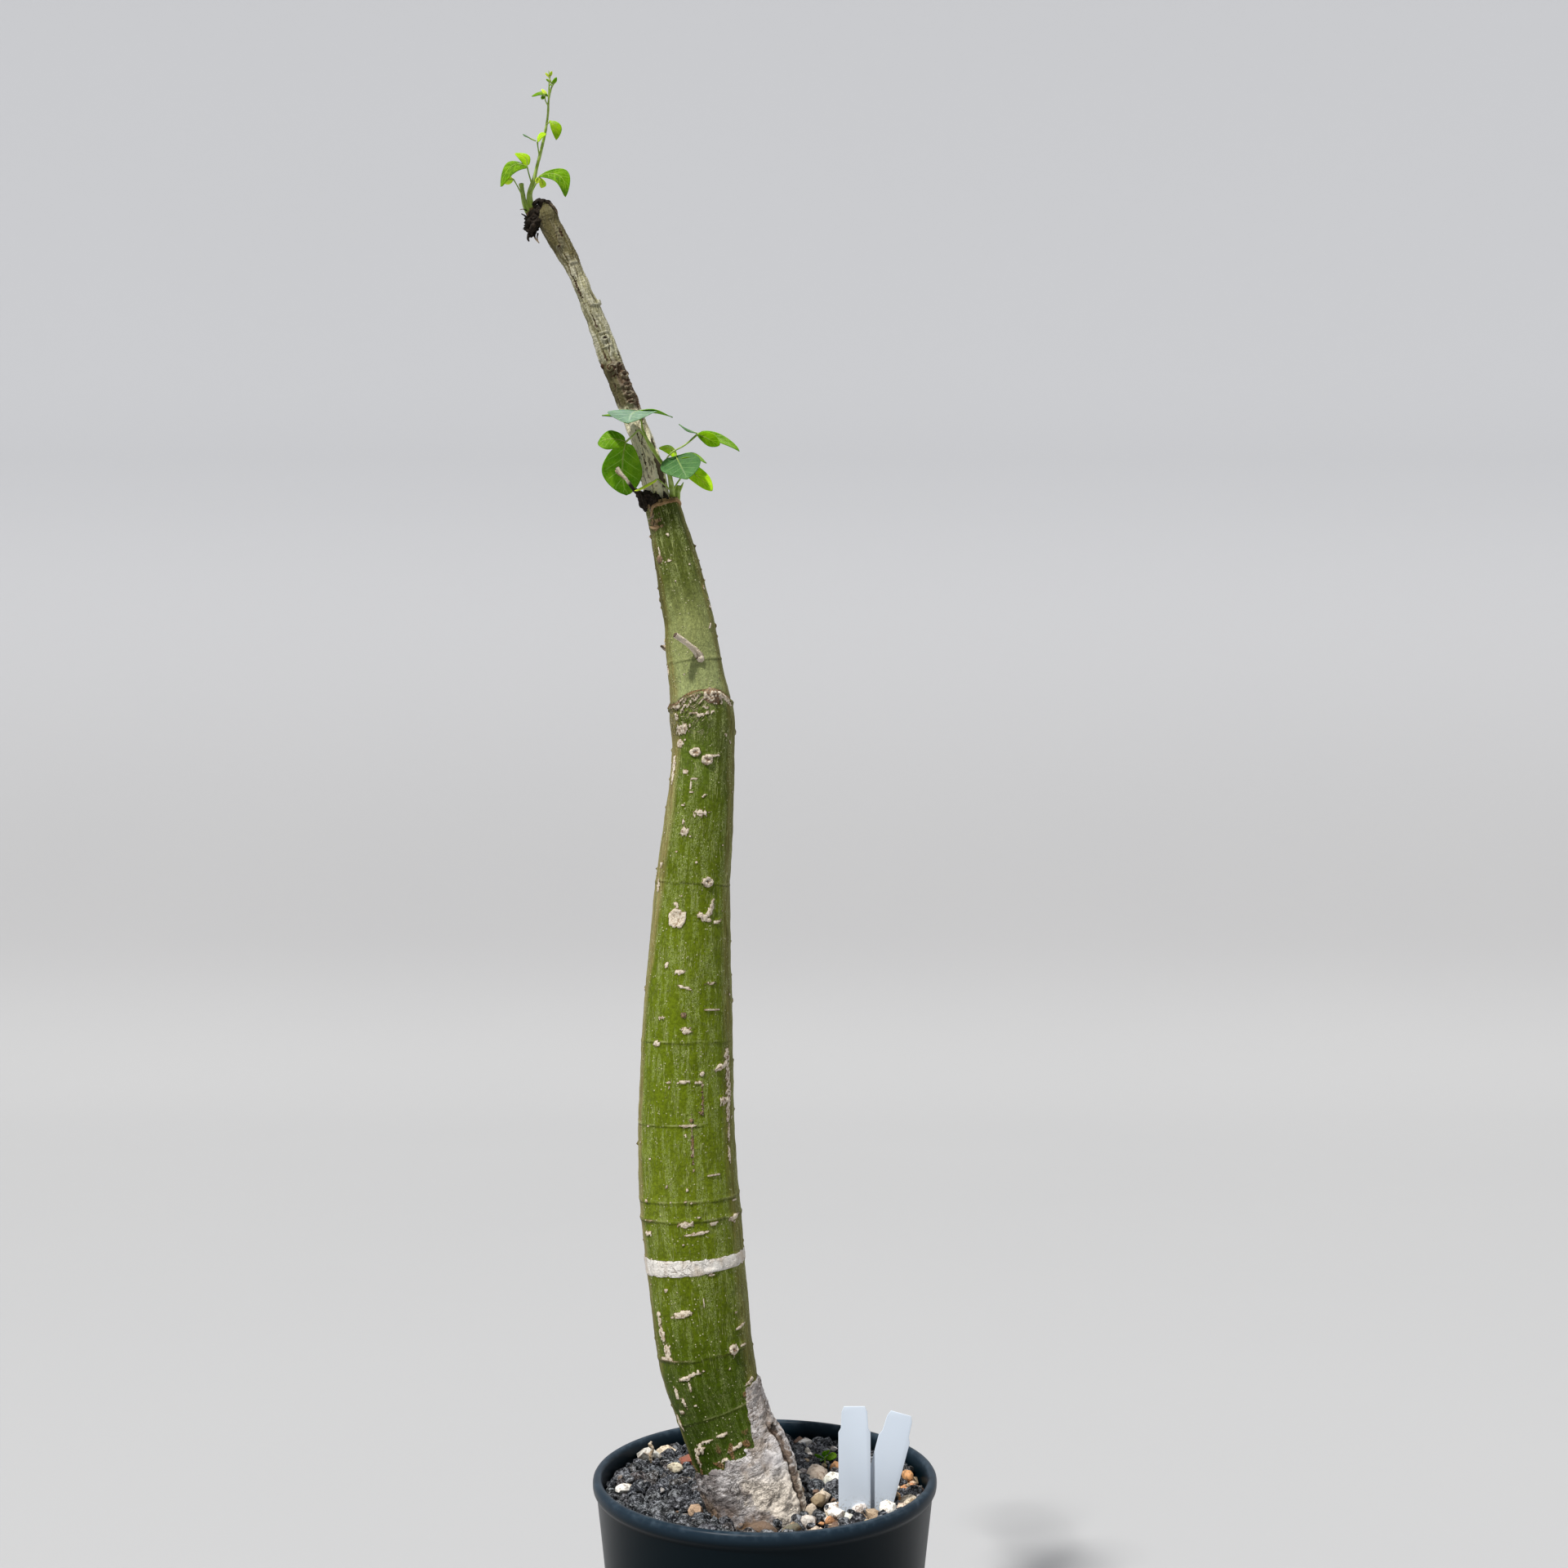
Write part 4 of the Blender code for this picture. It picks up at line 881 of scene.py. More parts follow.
LIT_TAN_LIGHT = (0.300, 0.245, 0.100)
EDGE_BROWN = (0.062, 0.052, 0.008)
VEIN_PALE = (0.38, 0.41, 0.15)
FINE_VEIN_PALE = (0.36, 0.41, 0.16)
WART_PALE = (0.52, 0.50, 0.29)
FOLD_PAINTED_SHADE = (0.040, 0.040, 0.008)
FOLD_PALE = (0.46, 0.42, 0.25)
CORK_BROWN = (0.27, 0.185, 0.105)
CORK_PALE = (0.66, 0.58, 0.46)
RING_SHADOW = (0.024, 0.026, 0.004)
RING_PAINTED_HIGHLIGHT = (0.36, 0.37, 0.16)
CORK_OUTLINE_AND_SHADOW = (0.050, 0.044, 0.010)
SCAR_AND_SHADE_BLACK = (0.045, 0.026, 0.014)
SCAR_AND_SHADE_BROWN = (0.250, 0.140, 0.062)
FLAKE_BROWN = (0.400, 0.260, 0.130)
BAND_WHITE = (0.74, 0.71, 0.66)
BAND_GREY = (0.54, 0.47, 0.39)
BAND_CRACK = (0.27, 0.205, 0.145)
BAND_RIM = (0.060, 0.050, 0.018)
FOOT_GREY = (0.250, 0.222, 0.215)
FOOT_PALE = (0.760, 0.725, 0.715)
FOOT_TAN = (0.330, 0.245, 0.165)
FOOT_CREAM = (0.96, 0.86, 0.73)
FOOT_SOIL = (0.24, 0.145, 0.075)
STRIP_GREY = (0.300, 0.262, 0.235)
WAVE_BROWN = (0.120, 0.086, 0.060)
HAIRLINE_BROWN = (0.150, 0.108, 0.078)
FURROW_DARK = (0.055, 0.044, 0.036)
VALLEY_DARK = (0.085, 0.052, 0.034)
VALLEY_LIGHT = (0.250, 0.175, 0.120)
FOOT_BLACK = (0.026, 0.017, 0.012)
trunk_look, shader, flow = new_look("living_green_bark", 0.55, 0.08)
spot = flow.attribute("straight", "Vector")
masks = {name: flow.attribute(name)
    for name in ("cork", "dark", "bark", "bleach", "tan", "ring", "under", "valley")}
level = places(flow).part("Z")
rightward = spot.part("X")
broad = spot.stretched(1, 1, 0.35).noise(34, 3)
patch = spot.stretched(1, 1, 0.5).noise(120, 4, 0.6)
skin = spot.noise(620, 3, 0.6)
lizard = spot.stretched(1, 1, 0.6).noise(1500, 3, 0.65)
veins = spot.stretched(1, 1, 0.10).noise(560, 2, 0.5, 1.1)
veined = abs(veins - 0.5).step(0.026, 0.008) * spot.stretched(1, 1, 0.6).noise(130, 3).step(0.44, 0.58)
chains = spot.stretched(1, 1, 0.14).noise(300, 3, 0.6).step(0.47, 0.58)
fine_veins = abs(spot.stretched(1, 1, 0.45).noise(1050, 3, 0.6, 1.6) - 0.5).step(0.042, 0.012) * chains
grain = spot.stretched(1, 1, 0.05).noise(1100, 3, 0.6)
wart_cells = flow.node("ShaderNodeTexVoronoi", {}, {"Vector": spot, "Scale": 460.0, "Randomness": 1.0},
    out="Distance")
warts = wart_cells.step(0.25, 0.10) * spot.noise(170, 3).step(0.45, 0.58)
forward = spot.part("Y")
arch = 0.0046 * forward.step(-0.008, -0.0165)
ringward = level - arch + 0.05 * (broad - 0.5) * abs(level - 0.558).step(0.006, 0.030)
by_height = flow.node("ShaderNodeValToRGB", {"stops": GREEN_AND_HIGHLIGHT_BY_HEIGHT}, {"Fac": ringward})
green = by_height.scaled(0.62 + 0.42 * patch + 0.38 * broad)
green = (skin.step(0.62, 0.36) * 0.50).blend(green, green.scaled(0.42))
green = (lizard.step(0.52, 0.70) * 0.40).blend(green, green.scaled(1.9))
green = (rightward.step(0.002, 0.011) * ringward.step(0.500, 0.525) * ringward.step(0.558, 0.554)
    * 0.65).blend(green, SHADED_GREEN)
tan_mask = (masks["tan"] + 0.5 * (patch - 0.5) + 0.25 * (veins - 0.5)).step(0.28, 0.95)
# The left flank is tan, and is painted paler there as painted light from the left.
leftward = rightward.step(-0.004, -0.010) * level.step(0.235, 0.300) * level.step(0.600, 0.540)
green = (tan_mask * 0.80).blend(green, grain.step(0.36, 0.64).blend(OLIVE_DARK, OLIVE_LIGHT))
green = (tan_mask * leftward * 0.75).blend(green, grain.step(0.36, 0.64).blend(LIT_TAN_DARK, LIT_TAN_LIGHT))
green = (tan_mask * rightward.step(-0.004, -0.010) * level.step(0.585, 0.612) * 0.6).blend(green,
    EDGE_BROWN)
thin = 0.30 + 0.70 * level.step(0.185, 0.270)
green = (veined * thin * 0.55).blend(green, VEIN_PALE)
green = (fine_veins * thin * 0.70).blend(green, FINE_VEIN_PALE)
green = (warts * 0.80).blend(green, WART_PALE)
slant = flow.node("ShaderNodeVectorRotate", {"rotation_type": "Y_AXIS"},
    {"Vector": spot, "Angle": -0.85}).stretched(1, 1, 0.22)
# The scaly folds below the node ring: their sunken lines are painted dark as shade, and their raised
# lines pale.
folded = ringward.step(0.537, 0.545) * ringward.step(0.559, 0.557) * rightward.step(0.008, 0.001)
scribble = (abs(slant.noise(520, 3, 0.6, 0.8) - 0.5).step(0.040, 0.014)
    * spot.noise(300, 2).step(0.44, 0.54) * folded)
shaded = abs(slant.noise(640, 3, 0.6, 0.8) - 0.52).step(0.050, 0.015) * folded
green = (shaded * 0.75).blend(green, FOLD_PAINTED_SHADE)
green = (scribble * 0.80).blend(green, FOLD_PALE)
cork_edge = masks["cork"] + 0.60 * (spot.noise(1250, 3, 0.65) - 0.5)
cork_mask = cork_edge.step(0.40, 0.55)
# A dark outline round each raised cork patch: partly its brown edge, partly a painted shadow.
cork_outline_and_shadow = cork_edge.step(0.18, 0.40) * (1 - cork_mask)
flakes = spot.noise(700, 4, 0.7)
corky = (cork_edge.step(0.46, 0.74) * flakes.step(0.32, 0.54)).blend(CORK_BROWN, CORK_PALE)
dark_mask = (masks["dark"] + 0.4 * (flakes - 0.5)).step(0.35, 0.62)
tone = (masks["under"].step(0.2, 0.8) * (0.22 + 0.45 * patch)
    + 0.5 * masks["under"].step(0.98, 1.0)).blend(green, RING_SHADOW)
tone = (masks["ring"].step(0.25, 0.85) * patch.step(0.36, 0.60) * 0.75).blend(tone, RING_PAINTED_HIGHLIGHT)
tone = (cork_outline_and_shadow * 0.55).blend(tone, CORK_OUTLINE_AND_SHADOW)
tone = cork_mask.blend(tone, corky)
high = level.step(0.638, 0.646)
bits = spot.noise(1500, 2) * (1 - high) + spot.stretched(1, 1, 0.16).noise(1400, 2) * high
# The dark paint: dark scars, buds and cork centres, and painted shade in the ring groove, the fold
# valleys and the hollows.
tone = (dark_mask * 0.85).blend(tone,
    bits.step(0.36, 0.60).blend(SCAR_AND_SHADE_BLACK, high.blend(SCAR_AND_SHADE_BROWN, FLAKE_BROWN)))
bleach_edge = masks["bleach"] + 0.16 * (spot.noise(520, 3, 0.6) - 0.5)
bleach_mask = bleach_edge.step(0.44, 0.56)
cracks = (abs(spot.stretched(1, 1, 1.5).noise(250, 4, 0.6, 0.5) - 0.5).step(0.030, 0.008)
    * spot.noise(110, 2).step(0.46, 0.60))
bleached = patch.step(0.38, 0.66).blend(BAND_WHITE, BAND_GREY)
bleached = (cracks * 0.60).blend(bleached, BAND_CRACK)
tone = (bleach_edge.step(0.20, 0.42) * 0.6).blend(tone, BAND_RIM)
tone = bleach_mask.blend(tone, bleached)
bark_mask = (masks["bark"] + 0.36 * (flakes - 0.5)).step(0.40, 0.60)
furrow = (abs(spot.stretched(1, 1, 1.4).noise(300, 2, 0.5, 1.6) - 0.5).step(0.050, 0.012)
    * (spot.noise(58, 2) - 6.0 * rightward - 3.0 * abs(level - 0.164)).step(0.44, 0.56))
hairline = (abs(spot.stretched(0.8, 0.8, 2.3).noise(270, 4, 0.6, 1.0) - 0.5).step(0.034, 0.008)
    * spot.noise(170, 2).step(0.38, 0.54))
pale = spot.noise(85, 4, 0.6) + 6.0 * rightward
grey = pale.step(0.34, 0.64).blend(FOOT_GREY, FOOT_PALE)
grey = (spot.noise(70, 3, 0.6).step(0.50, 0.66) * 0.60).blend(grey, FOOT_TAN)
cream = level.step(0.176, 0.162) * (spot.noise(110, 3) + 16.0 * rightward).step(0.42, 0.56)
grey = (cream * 0.92).blend(grey, FOOT_CREAM)
grey = (level.step(0.158, 0.143) * spot.noise(150, 3).step(0.40, 0.58) * (1 - cream)).blend(grey,
    FOOT_SOIL)
strip = level.step(0.178, 0.190) * (0.55 + 0.45 * pale.step(0.66, 0.50))
grey = (strip * 0.62).blend(grey, STRIP_GREY)
wavy = (abs(spot.stretched(0.55, 0.55, 1.9).noise(330, 3, 0.6, 0.9) - 0.5).step(0.060, 0.015)
    * spot.noise(150, 2).step(0.40, 0.56))
grey = (wavy * level.step(0.170, 0.184) * 0.75).blend(grey, WAVE_BROWN)
grey = (hairline * 0.60).blend(grey, HAIRLINE_BROWN)
grey = (furrow * (0.80 - 0.6 * cream)).blend(grey, FURROW_DARK)
# The valley beside the fold's ridge holds brown bark and painted shade, and the dark paint on the bark
# includes the painted shade of its crease.
grey = ((masks["valley"] + 0.6 * (flakes - 0.5)).step(0.22, 0.62) * 0.88).blend(grey,
    skin.step(0.34, 0.64).blend(VALLEY_DARK, VALLEY_LIGHT))
grey = (masks["dark"].step(0.35, 0.8) * 0.85).blend(grey, FOOT_BLACK)
tone = bark_mask.blend(tone, grey)
tone.feed(shader, "Base Color")
rough = (0.44 + 0.22 * skin).most(0.86 * cork_mask).most(0.9 * bark_mask).most(0.88 * bleach_mask)
rough.feed(shader, "Roughness")
relief = (0.7 * scribble - 0.5 * shaded + 0.40 * skin + 0.45 * lizard + 0.5 * warts + 0.25 * veined
    + 0.9 * cork_mask * flakes)
relief = (relief + 0.8 * bleach_mask * (flakes - cracks)
    + bark_mask * (1.2 * flakes - 1.3 * furrow - 0.5 * hairline) + 0.6 * dark_mask * flakes)
carved(flow, relief, 0.0008, 0.9).feed(shader, "Normal")
trunk_bark.data.materials.append(trunk_look)
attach(trunk_bark, "root")
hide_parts("trunk")


# Branch. A thin woody branch that grew on from the cut top: dry, ridged, flaking bark with
# brown knots, old cracks and a long dark hollow at its foot. It is one piece with the trunk.
# Stations: height, right, back and radius. Marks are written as on the trunk.
BRANCH_STATIONS = [
    (652, -52.5, -4.2, 5.6), (670, -56.8, -3.4, 6.2), (685, -60.7, -2.6, 5.9), (705, -67.7, -1.5, 5.6),
    (730, -77.6, 0, 5.6), (756, -87.3, 1.5, 5.0), (783, -98.6, 3, 4.4), (796, -104.9, 3.8, 5.0),
    (809, -112.4, 4.5, 5.2), (816, -115.2, 4.8, 5.4), (821.5, -118.0, 5, 4.2),
]
BRANCH_MARKS = [
    (774.0, -32, 0.9, 6.4, 0, "crack"), (769.0, 84, 1.8, 1.4, 0, "scar"),
    (767.6, 40, 3.6, 0.7, 0, "dash"),
    (749.3, 13, 2.0, 1.5, 0, "scar"), (752.6, 20, 3.0, 0.6, 0, "dash"), (745.0, 8, 3.2, 0.6, 0, "dash"),
    (733.4, -12, 2.9, 2.6, -20, "knob"), (729.6, -8, 2.8, 0.9, 15, "crack"),
    (735.0, -72, 1.4, 1.6, 0, "bud"),
    (740.5, -24, 0.7, 5.2, 6, "crack"), (735.5, 34, 2.0, 1.5, 0, "scar"),
    (730.2, 42, 2.6, 2.0, 10, "scar"),
    (724.6, 32, 3.0, 1.8, 0, "scar"), (719.8, 24, 2.8, 1.5, 0, "scar"),
    (715.3, 20, 2.5, 1.3, 0, "scar"),
    (727.4, 44, 2.6, 0.6, 8, "crack"), (722.1, 30, 2.9, 0.5, -5, "crack"),
    (717.5, 24, 2.6, 0.5, 4, "crack"),
    (710.0, -12, 0.6, 3.6, 0, "crack"), (697.0, -10, 0.5, 5.5, 0, "crack"),
    (684.0, -20, 0.5, 6.0, 0, "crack"),
    (684.0, 54, 2.9, 16.0, -5, "hollow"), (790.0, 20, 2.6, 0.7, 0, "dash"),
    (798.0, -20, 1.4, 1.2, 0, "scar"),
    (805.0, 30, 1.2, 3.4, 0, "crack"), (760.0, -150, 2.0, 1.8, 0, "scar"),
    (735.0, 150, 1.8, 1.6, 0, "scar"), (705.0, -140, 0.8, 6.0, 0, "crack"),
    (780.0, 140, 0.8, 5.0, 0, "crack"),
    (690.0, 170, 2.0, 1.6, 0, "scar"), (742.0, 60, 0.5, 4.0, 0, "crack"),
    (757.0, -10, 0.5, 4.6, 0, "crack"),
]
# Loose flakes of bark: height, side in degrees, half length, how far each stands out, and how corky
BRANCH_FLAKES = [
    (700, 30, 9, 0.5, 0.1), (722, -20, 11, 0.6, 0.5), (741, 25, 8, 0.55, 0.5), (762, 10, 9, 0.6, 0.5),
    (788, -8, 8, 0.6, 0.5), (803, 20, 7, 0.6, 0.5), (748, -60, 12, 0.7, 0.5), (712, 70, 8, 0.5, 0.5),
]
BRANCH_SIDES = 80
BRANCH_STEP = 0.45
BRANCH_SEED = 800

branch_line = smooth_line([(x, y, z, r) for z, x, y, r in BRANCH_STATIONS], BRANCH_STEP)
branch = Stem("branch_bark", branch_line, BRANCH_SIDES, crowd=0.3)
branch.paint = {name: np.zeros(len(branch.skin)) for name in ("cork", "dark", "char")}
lengthwise = np.stack((np.sin(branch.turn) * 5.4, np.cos(branch.turn) * 5.4, branch.path * 0.13),
    axis=1)
ridges = ripple(lengthwise, 3.0, 31)
strands = ripple(lengthwise * (1, 1, 1.6), 1.5, 32)
branch.rise += 0.26 * ripple(branch.skin, 12, 33) + 0.24 * ridges + 0.14 * strands
branch.rise += 0.16 * ripple(branch.skin * (1, 1, 1.8), 2.2, 34)
branch.rise -= 0.5 * soft(branch.centre[:, 2], 768.5, 770.5) * soft(branch.centre[:, 2], 795, 780)
branch.paint["cork"] = 0.5 + 0.35 * ridges + 0.3 * strands
for number, (level, degrees, wide, tall, lean, kind) in enumerate(BRANCH_MARKS):
    mark(branch, *on_stem(BRANCH_STATIONS, level, degrees), wide, tall, lean, kind,
        BRANCH_SEED + number)
crown = branch.centre[:, 2]
leftward = -np.sin(branch.turn)
branch.paint["char"] = soft(crown + 2.0 * ripple(branch.skin, 5, 35) + 3.5 * leftward, 816.5, 820.5)
branch.colour("char", soft(crown + 1.6 * ripple(branch.skin, 4, 36) - 2.0 * leftward, 666, 662))
branch.rise += 0.7 * branch.paint["char"] * ripple(branch.skin, 3.6, 37) * soft(crown, 808, 814)
for level, degrees, run, stand, corky in BRANCH_FLAKES:
    flake = (branch.centre[:, 2] - level) / run
    bite = (np.degrees(branch.turn) - degrees - 18 * flake
        + 8 * ripple(branch.skin, 5, int(level))) / 16
    branch.rise += stand * soft(np.abs(flake), 1, 0.6) * soft(bite, -1, -0.8) * soft(bite, 1, -0.6)
    branch.paint["cork"] += (corky * soft(np.abs(flake), 1, 0.6) * soft(bite, -1, -0.8)
        * soft(bite, 1, -0.6))
    # Painted shadow: a dark line along one edge of each raised flake.
    branch.colour("dark", 0.8 * soft(np.abs(flake), 1, 0.7) * soft(np.abs(bite + 1.12), 0.2, 0.08))
branch_bark = branch.finish()


# The branch's middle line at a level in metres: how far left and front it stands, and how it leans
BRANCH_LEVEL = 0.705
BRANCH_RIGHT, BRANCH_LEAN = 0.0677, 0.396
BRANCH_BACK, BRANCH_TILT = 0.0015, 0.06
BLEACHED_AND_LIT_STRAW = (0.92, 0.84, 0.58)
TOP_SHADE = (0.088, 0.072, 0.022)
NICK_BROWN = (0.130, 0.098, 0.052)
STRAND_DARK = (0.070, 0.050, 0.026)
CROSS_DARK = (0.085, 0.055, 0.028)
KNOT_BROWN = (0.120, 0.068, 0.038)
OLIVE_PAINTED_SHADE = (0.084, 0.070, 0.028)
KNOT_DARK = (0.060, 0.030, 0.017)
DAMP_GREEN = (0.064, 0.078, 0.040)
SPLIT_AND_SHADE_BROWN = (0.060, 0.028, 0.014)
CHAR_BLACK = (0.002, 0.0015, 0.001)
CHAR_BROWN = (0.030, 0.019, 0.012)
def wood_look(name, strand_scale, deep, light, pale_tone, weathered):
    """Dry flaking bark or dead wood; its char paint turns it black, cork pale and dark brown.

    Weathered bark is bleached low down and painted paler on its front as painted light, brown round its
    knots with a strip of painted shade in dark olive on its left, and darker near its top.
    """
    look, shader, flow = new_look(name, 0.85, 0.12)
    spot = flow.attribute("straight", "Vector")
    masks = {part: flow.attribute(part) for part in ("cork", "dark", "char")}
    strands = spot.stretched(1, 1, 0.12).noise(strand_scale, 5, 0.65)
    cross = spot.stretched(0.3, 0.3, 1).noise(strand_scale * 0.9, 3, 0.6)
    flakes = spot.stretched(1, 1, 0.5).noise(strand_scale * 0.7, 4, 0.7)
    height = places(flow).part("Z")
    depth = places(flow).part("Y")
    facing = (depth + BRANCH_BACK - BRANCH_TILT * (height - BRANCH_LEVEL)).step(0.0040, 0.0004)
    level = height + 0.011 * (spot.noise(210, 3, 0.6) - 0.5)
    base = spot.noise(90, 4).step(0.36, 0.64).blend(deep, light)
    # Bleached bark low down, painted paler still on its front as painted light where a leaf's shadow
    # falls.
    bleach = weathered * level.step(0.715, 0.690) * (0.30 + 0.70 * facing)
    shade = weathered * level.step(0.774, 0.803)
    base = (bleach * 0.9).blend(base, BLEACHED_AND_LIT_STRAW)
    base = (shade * 0.9).blend(base, TOP_SHADE)
    base = (strands.step(0.46, 0.63) * (0.82 - 0.74 * shade)).blend(base, pale_tone)
    nicks = spot.stretched(1, 1, 0.30).noise(strand_scale * 0.8, 3, 0.6)
    base = (nicks.step(0.44, 0.37) * (0.35 + 0.45 * bleach)).blend(base, NICK_BROWN)
    base = (strands.step(0.42, 0.31) * 0.85).blend(base, STRAND_DARK)
    base = (cross.step(0.39, 0.30) * 0.6).blend(base, CROSS_DARK)
    pale = (masks["cork"] + 0.5 * (flakes - 0.5)).step(0.62, 0.86)
    base = (pale * (0.60 - 0.5 * shade)).blend(base, pale_tone)
    across = places(flow).part("X") + BRANCH_RIGHT + BRANCH_LEAN * (height - BRANCH_LEVEL)
    knotty = (weathered * level.step(0.7105, 0.7145) * level.step(0.7400, 0.7345)
        * (0.30 + 0.70 * facing))
    # The left side of the knotty band is painted dark olive as painted shade; the rest has brown knots.
    smooth_side = across.step(0.0010, -0.0012)
    base = (knotty * (0.60 + 0.33 * smooth_side)).blend(base, smooth_side.blend(KNOT_BROWN, OLIVE_PAINTED_SHADE))
    base = (knotty * (1 - smooth_side) * flakes.step(0.62, 0.46) * 0.80).blend(base, KNOT_DARK)
    middle_grey = weathered * level.step(0.7345, 0.7395) * level.step(0.780, 0.772)
    base = (middle_grey * 0.26).blend(base, DAMP_GREEN)
    # The dark paint: brown splits, scars and knots, and painted shade in the hollow and along the flake
    # edges.
    brown = (masks["dark"] + 0.5 * (flakes - 0.5)).step(0.34, 0.60)
    base = (brown * 0.9).blend(base, SPLIT_AND_SHADE_BROWN)
    black = (masks["char"] + 0.4 * (flakes - 0.5)).step(0.36, 0.60)
    (black * 0.97).blend(base, flakes.step(0.38, 0.74).blend(CHAR_BLACK, CHAR_BROWN)).feed(shader,
        "Base Color")
    (0.72 + 0.2 * flakes).feed(shader, "Roughness")
    carved(flow, strands + 0.5 * cross + 0.7 * flakes, 0.0010, 1.0).feed(shader, "Normal")
    return look


dry_look = wood_look("dry_branch_bark", 950, (0.255, 0.230, 0.118), (0.420, 0.395, 0.230),
    (0.680, 0.650, 0.490), 1.0)
branch_bark.data.materials.append(dry_look)
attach(branch_bark, "root")
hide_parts("trunk")


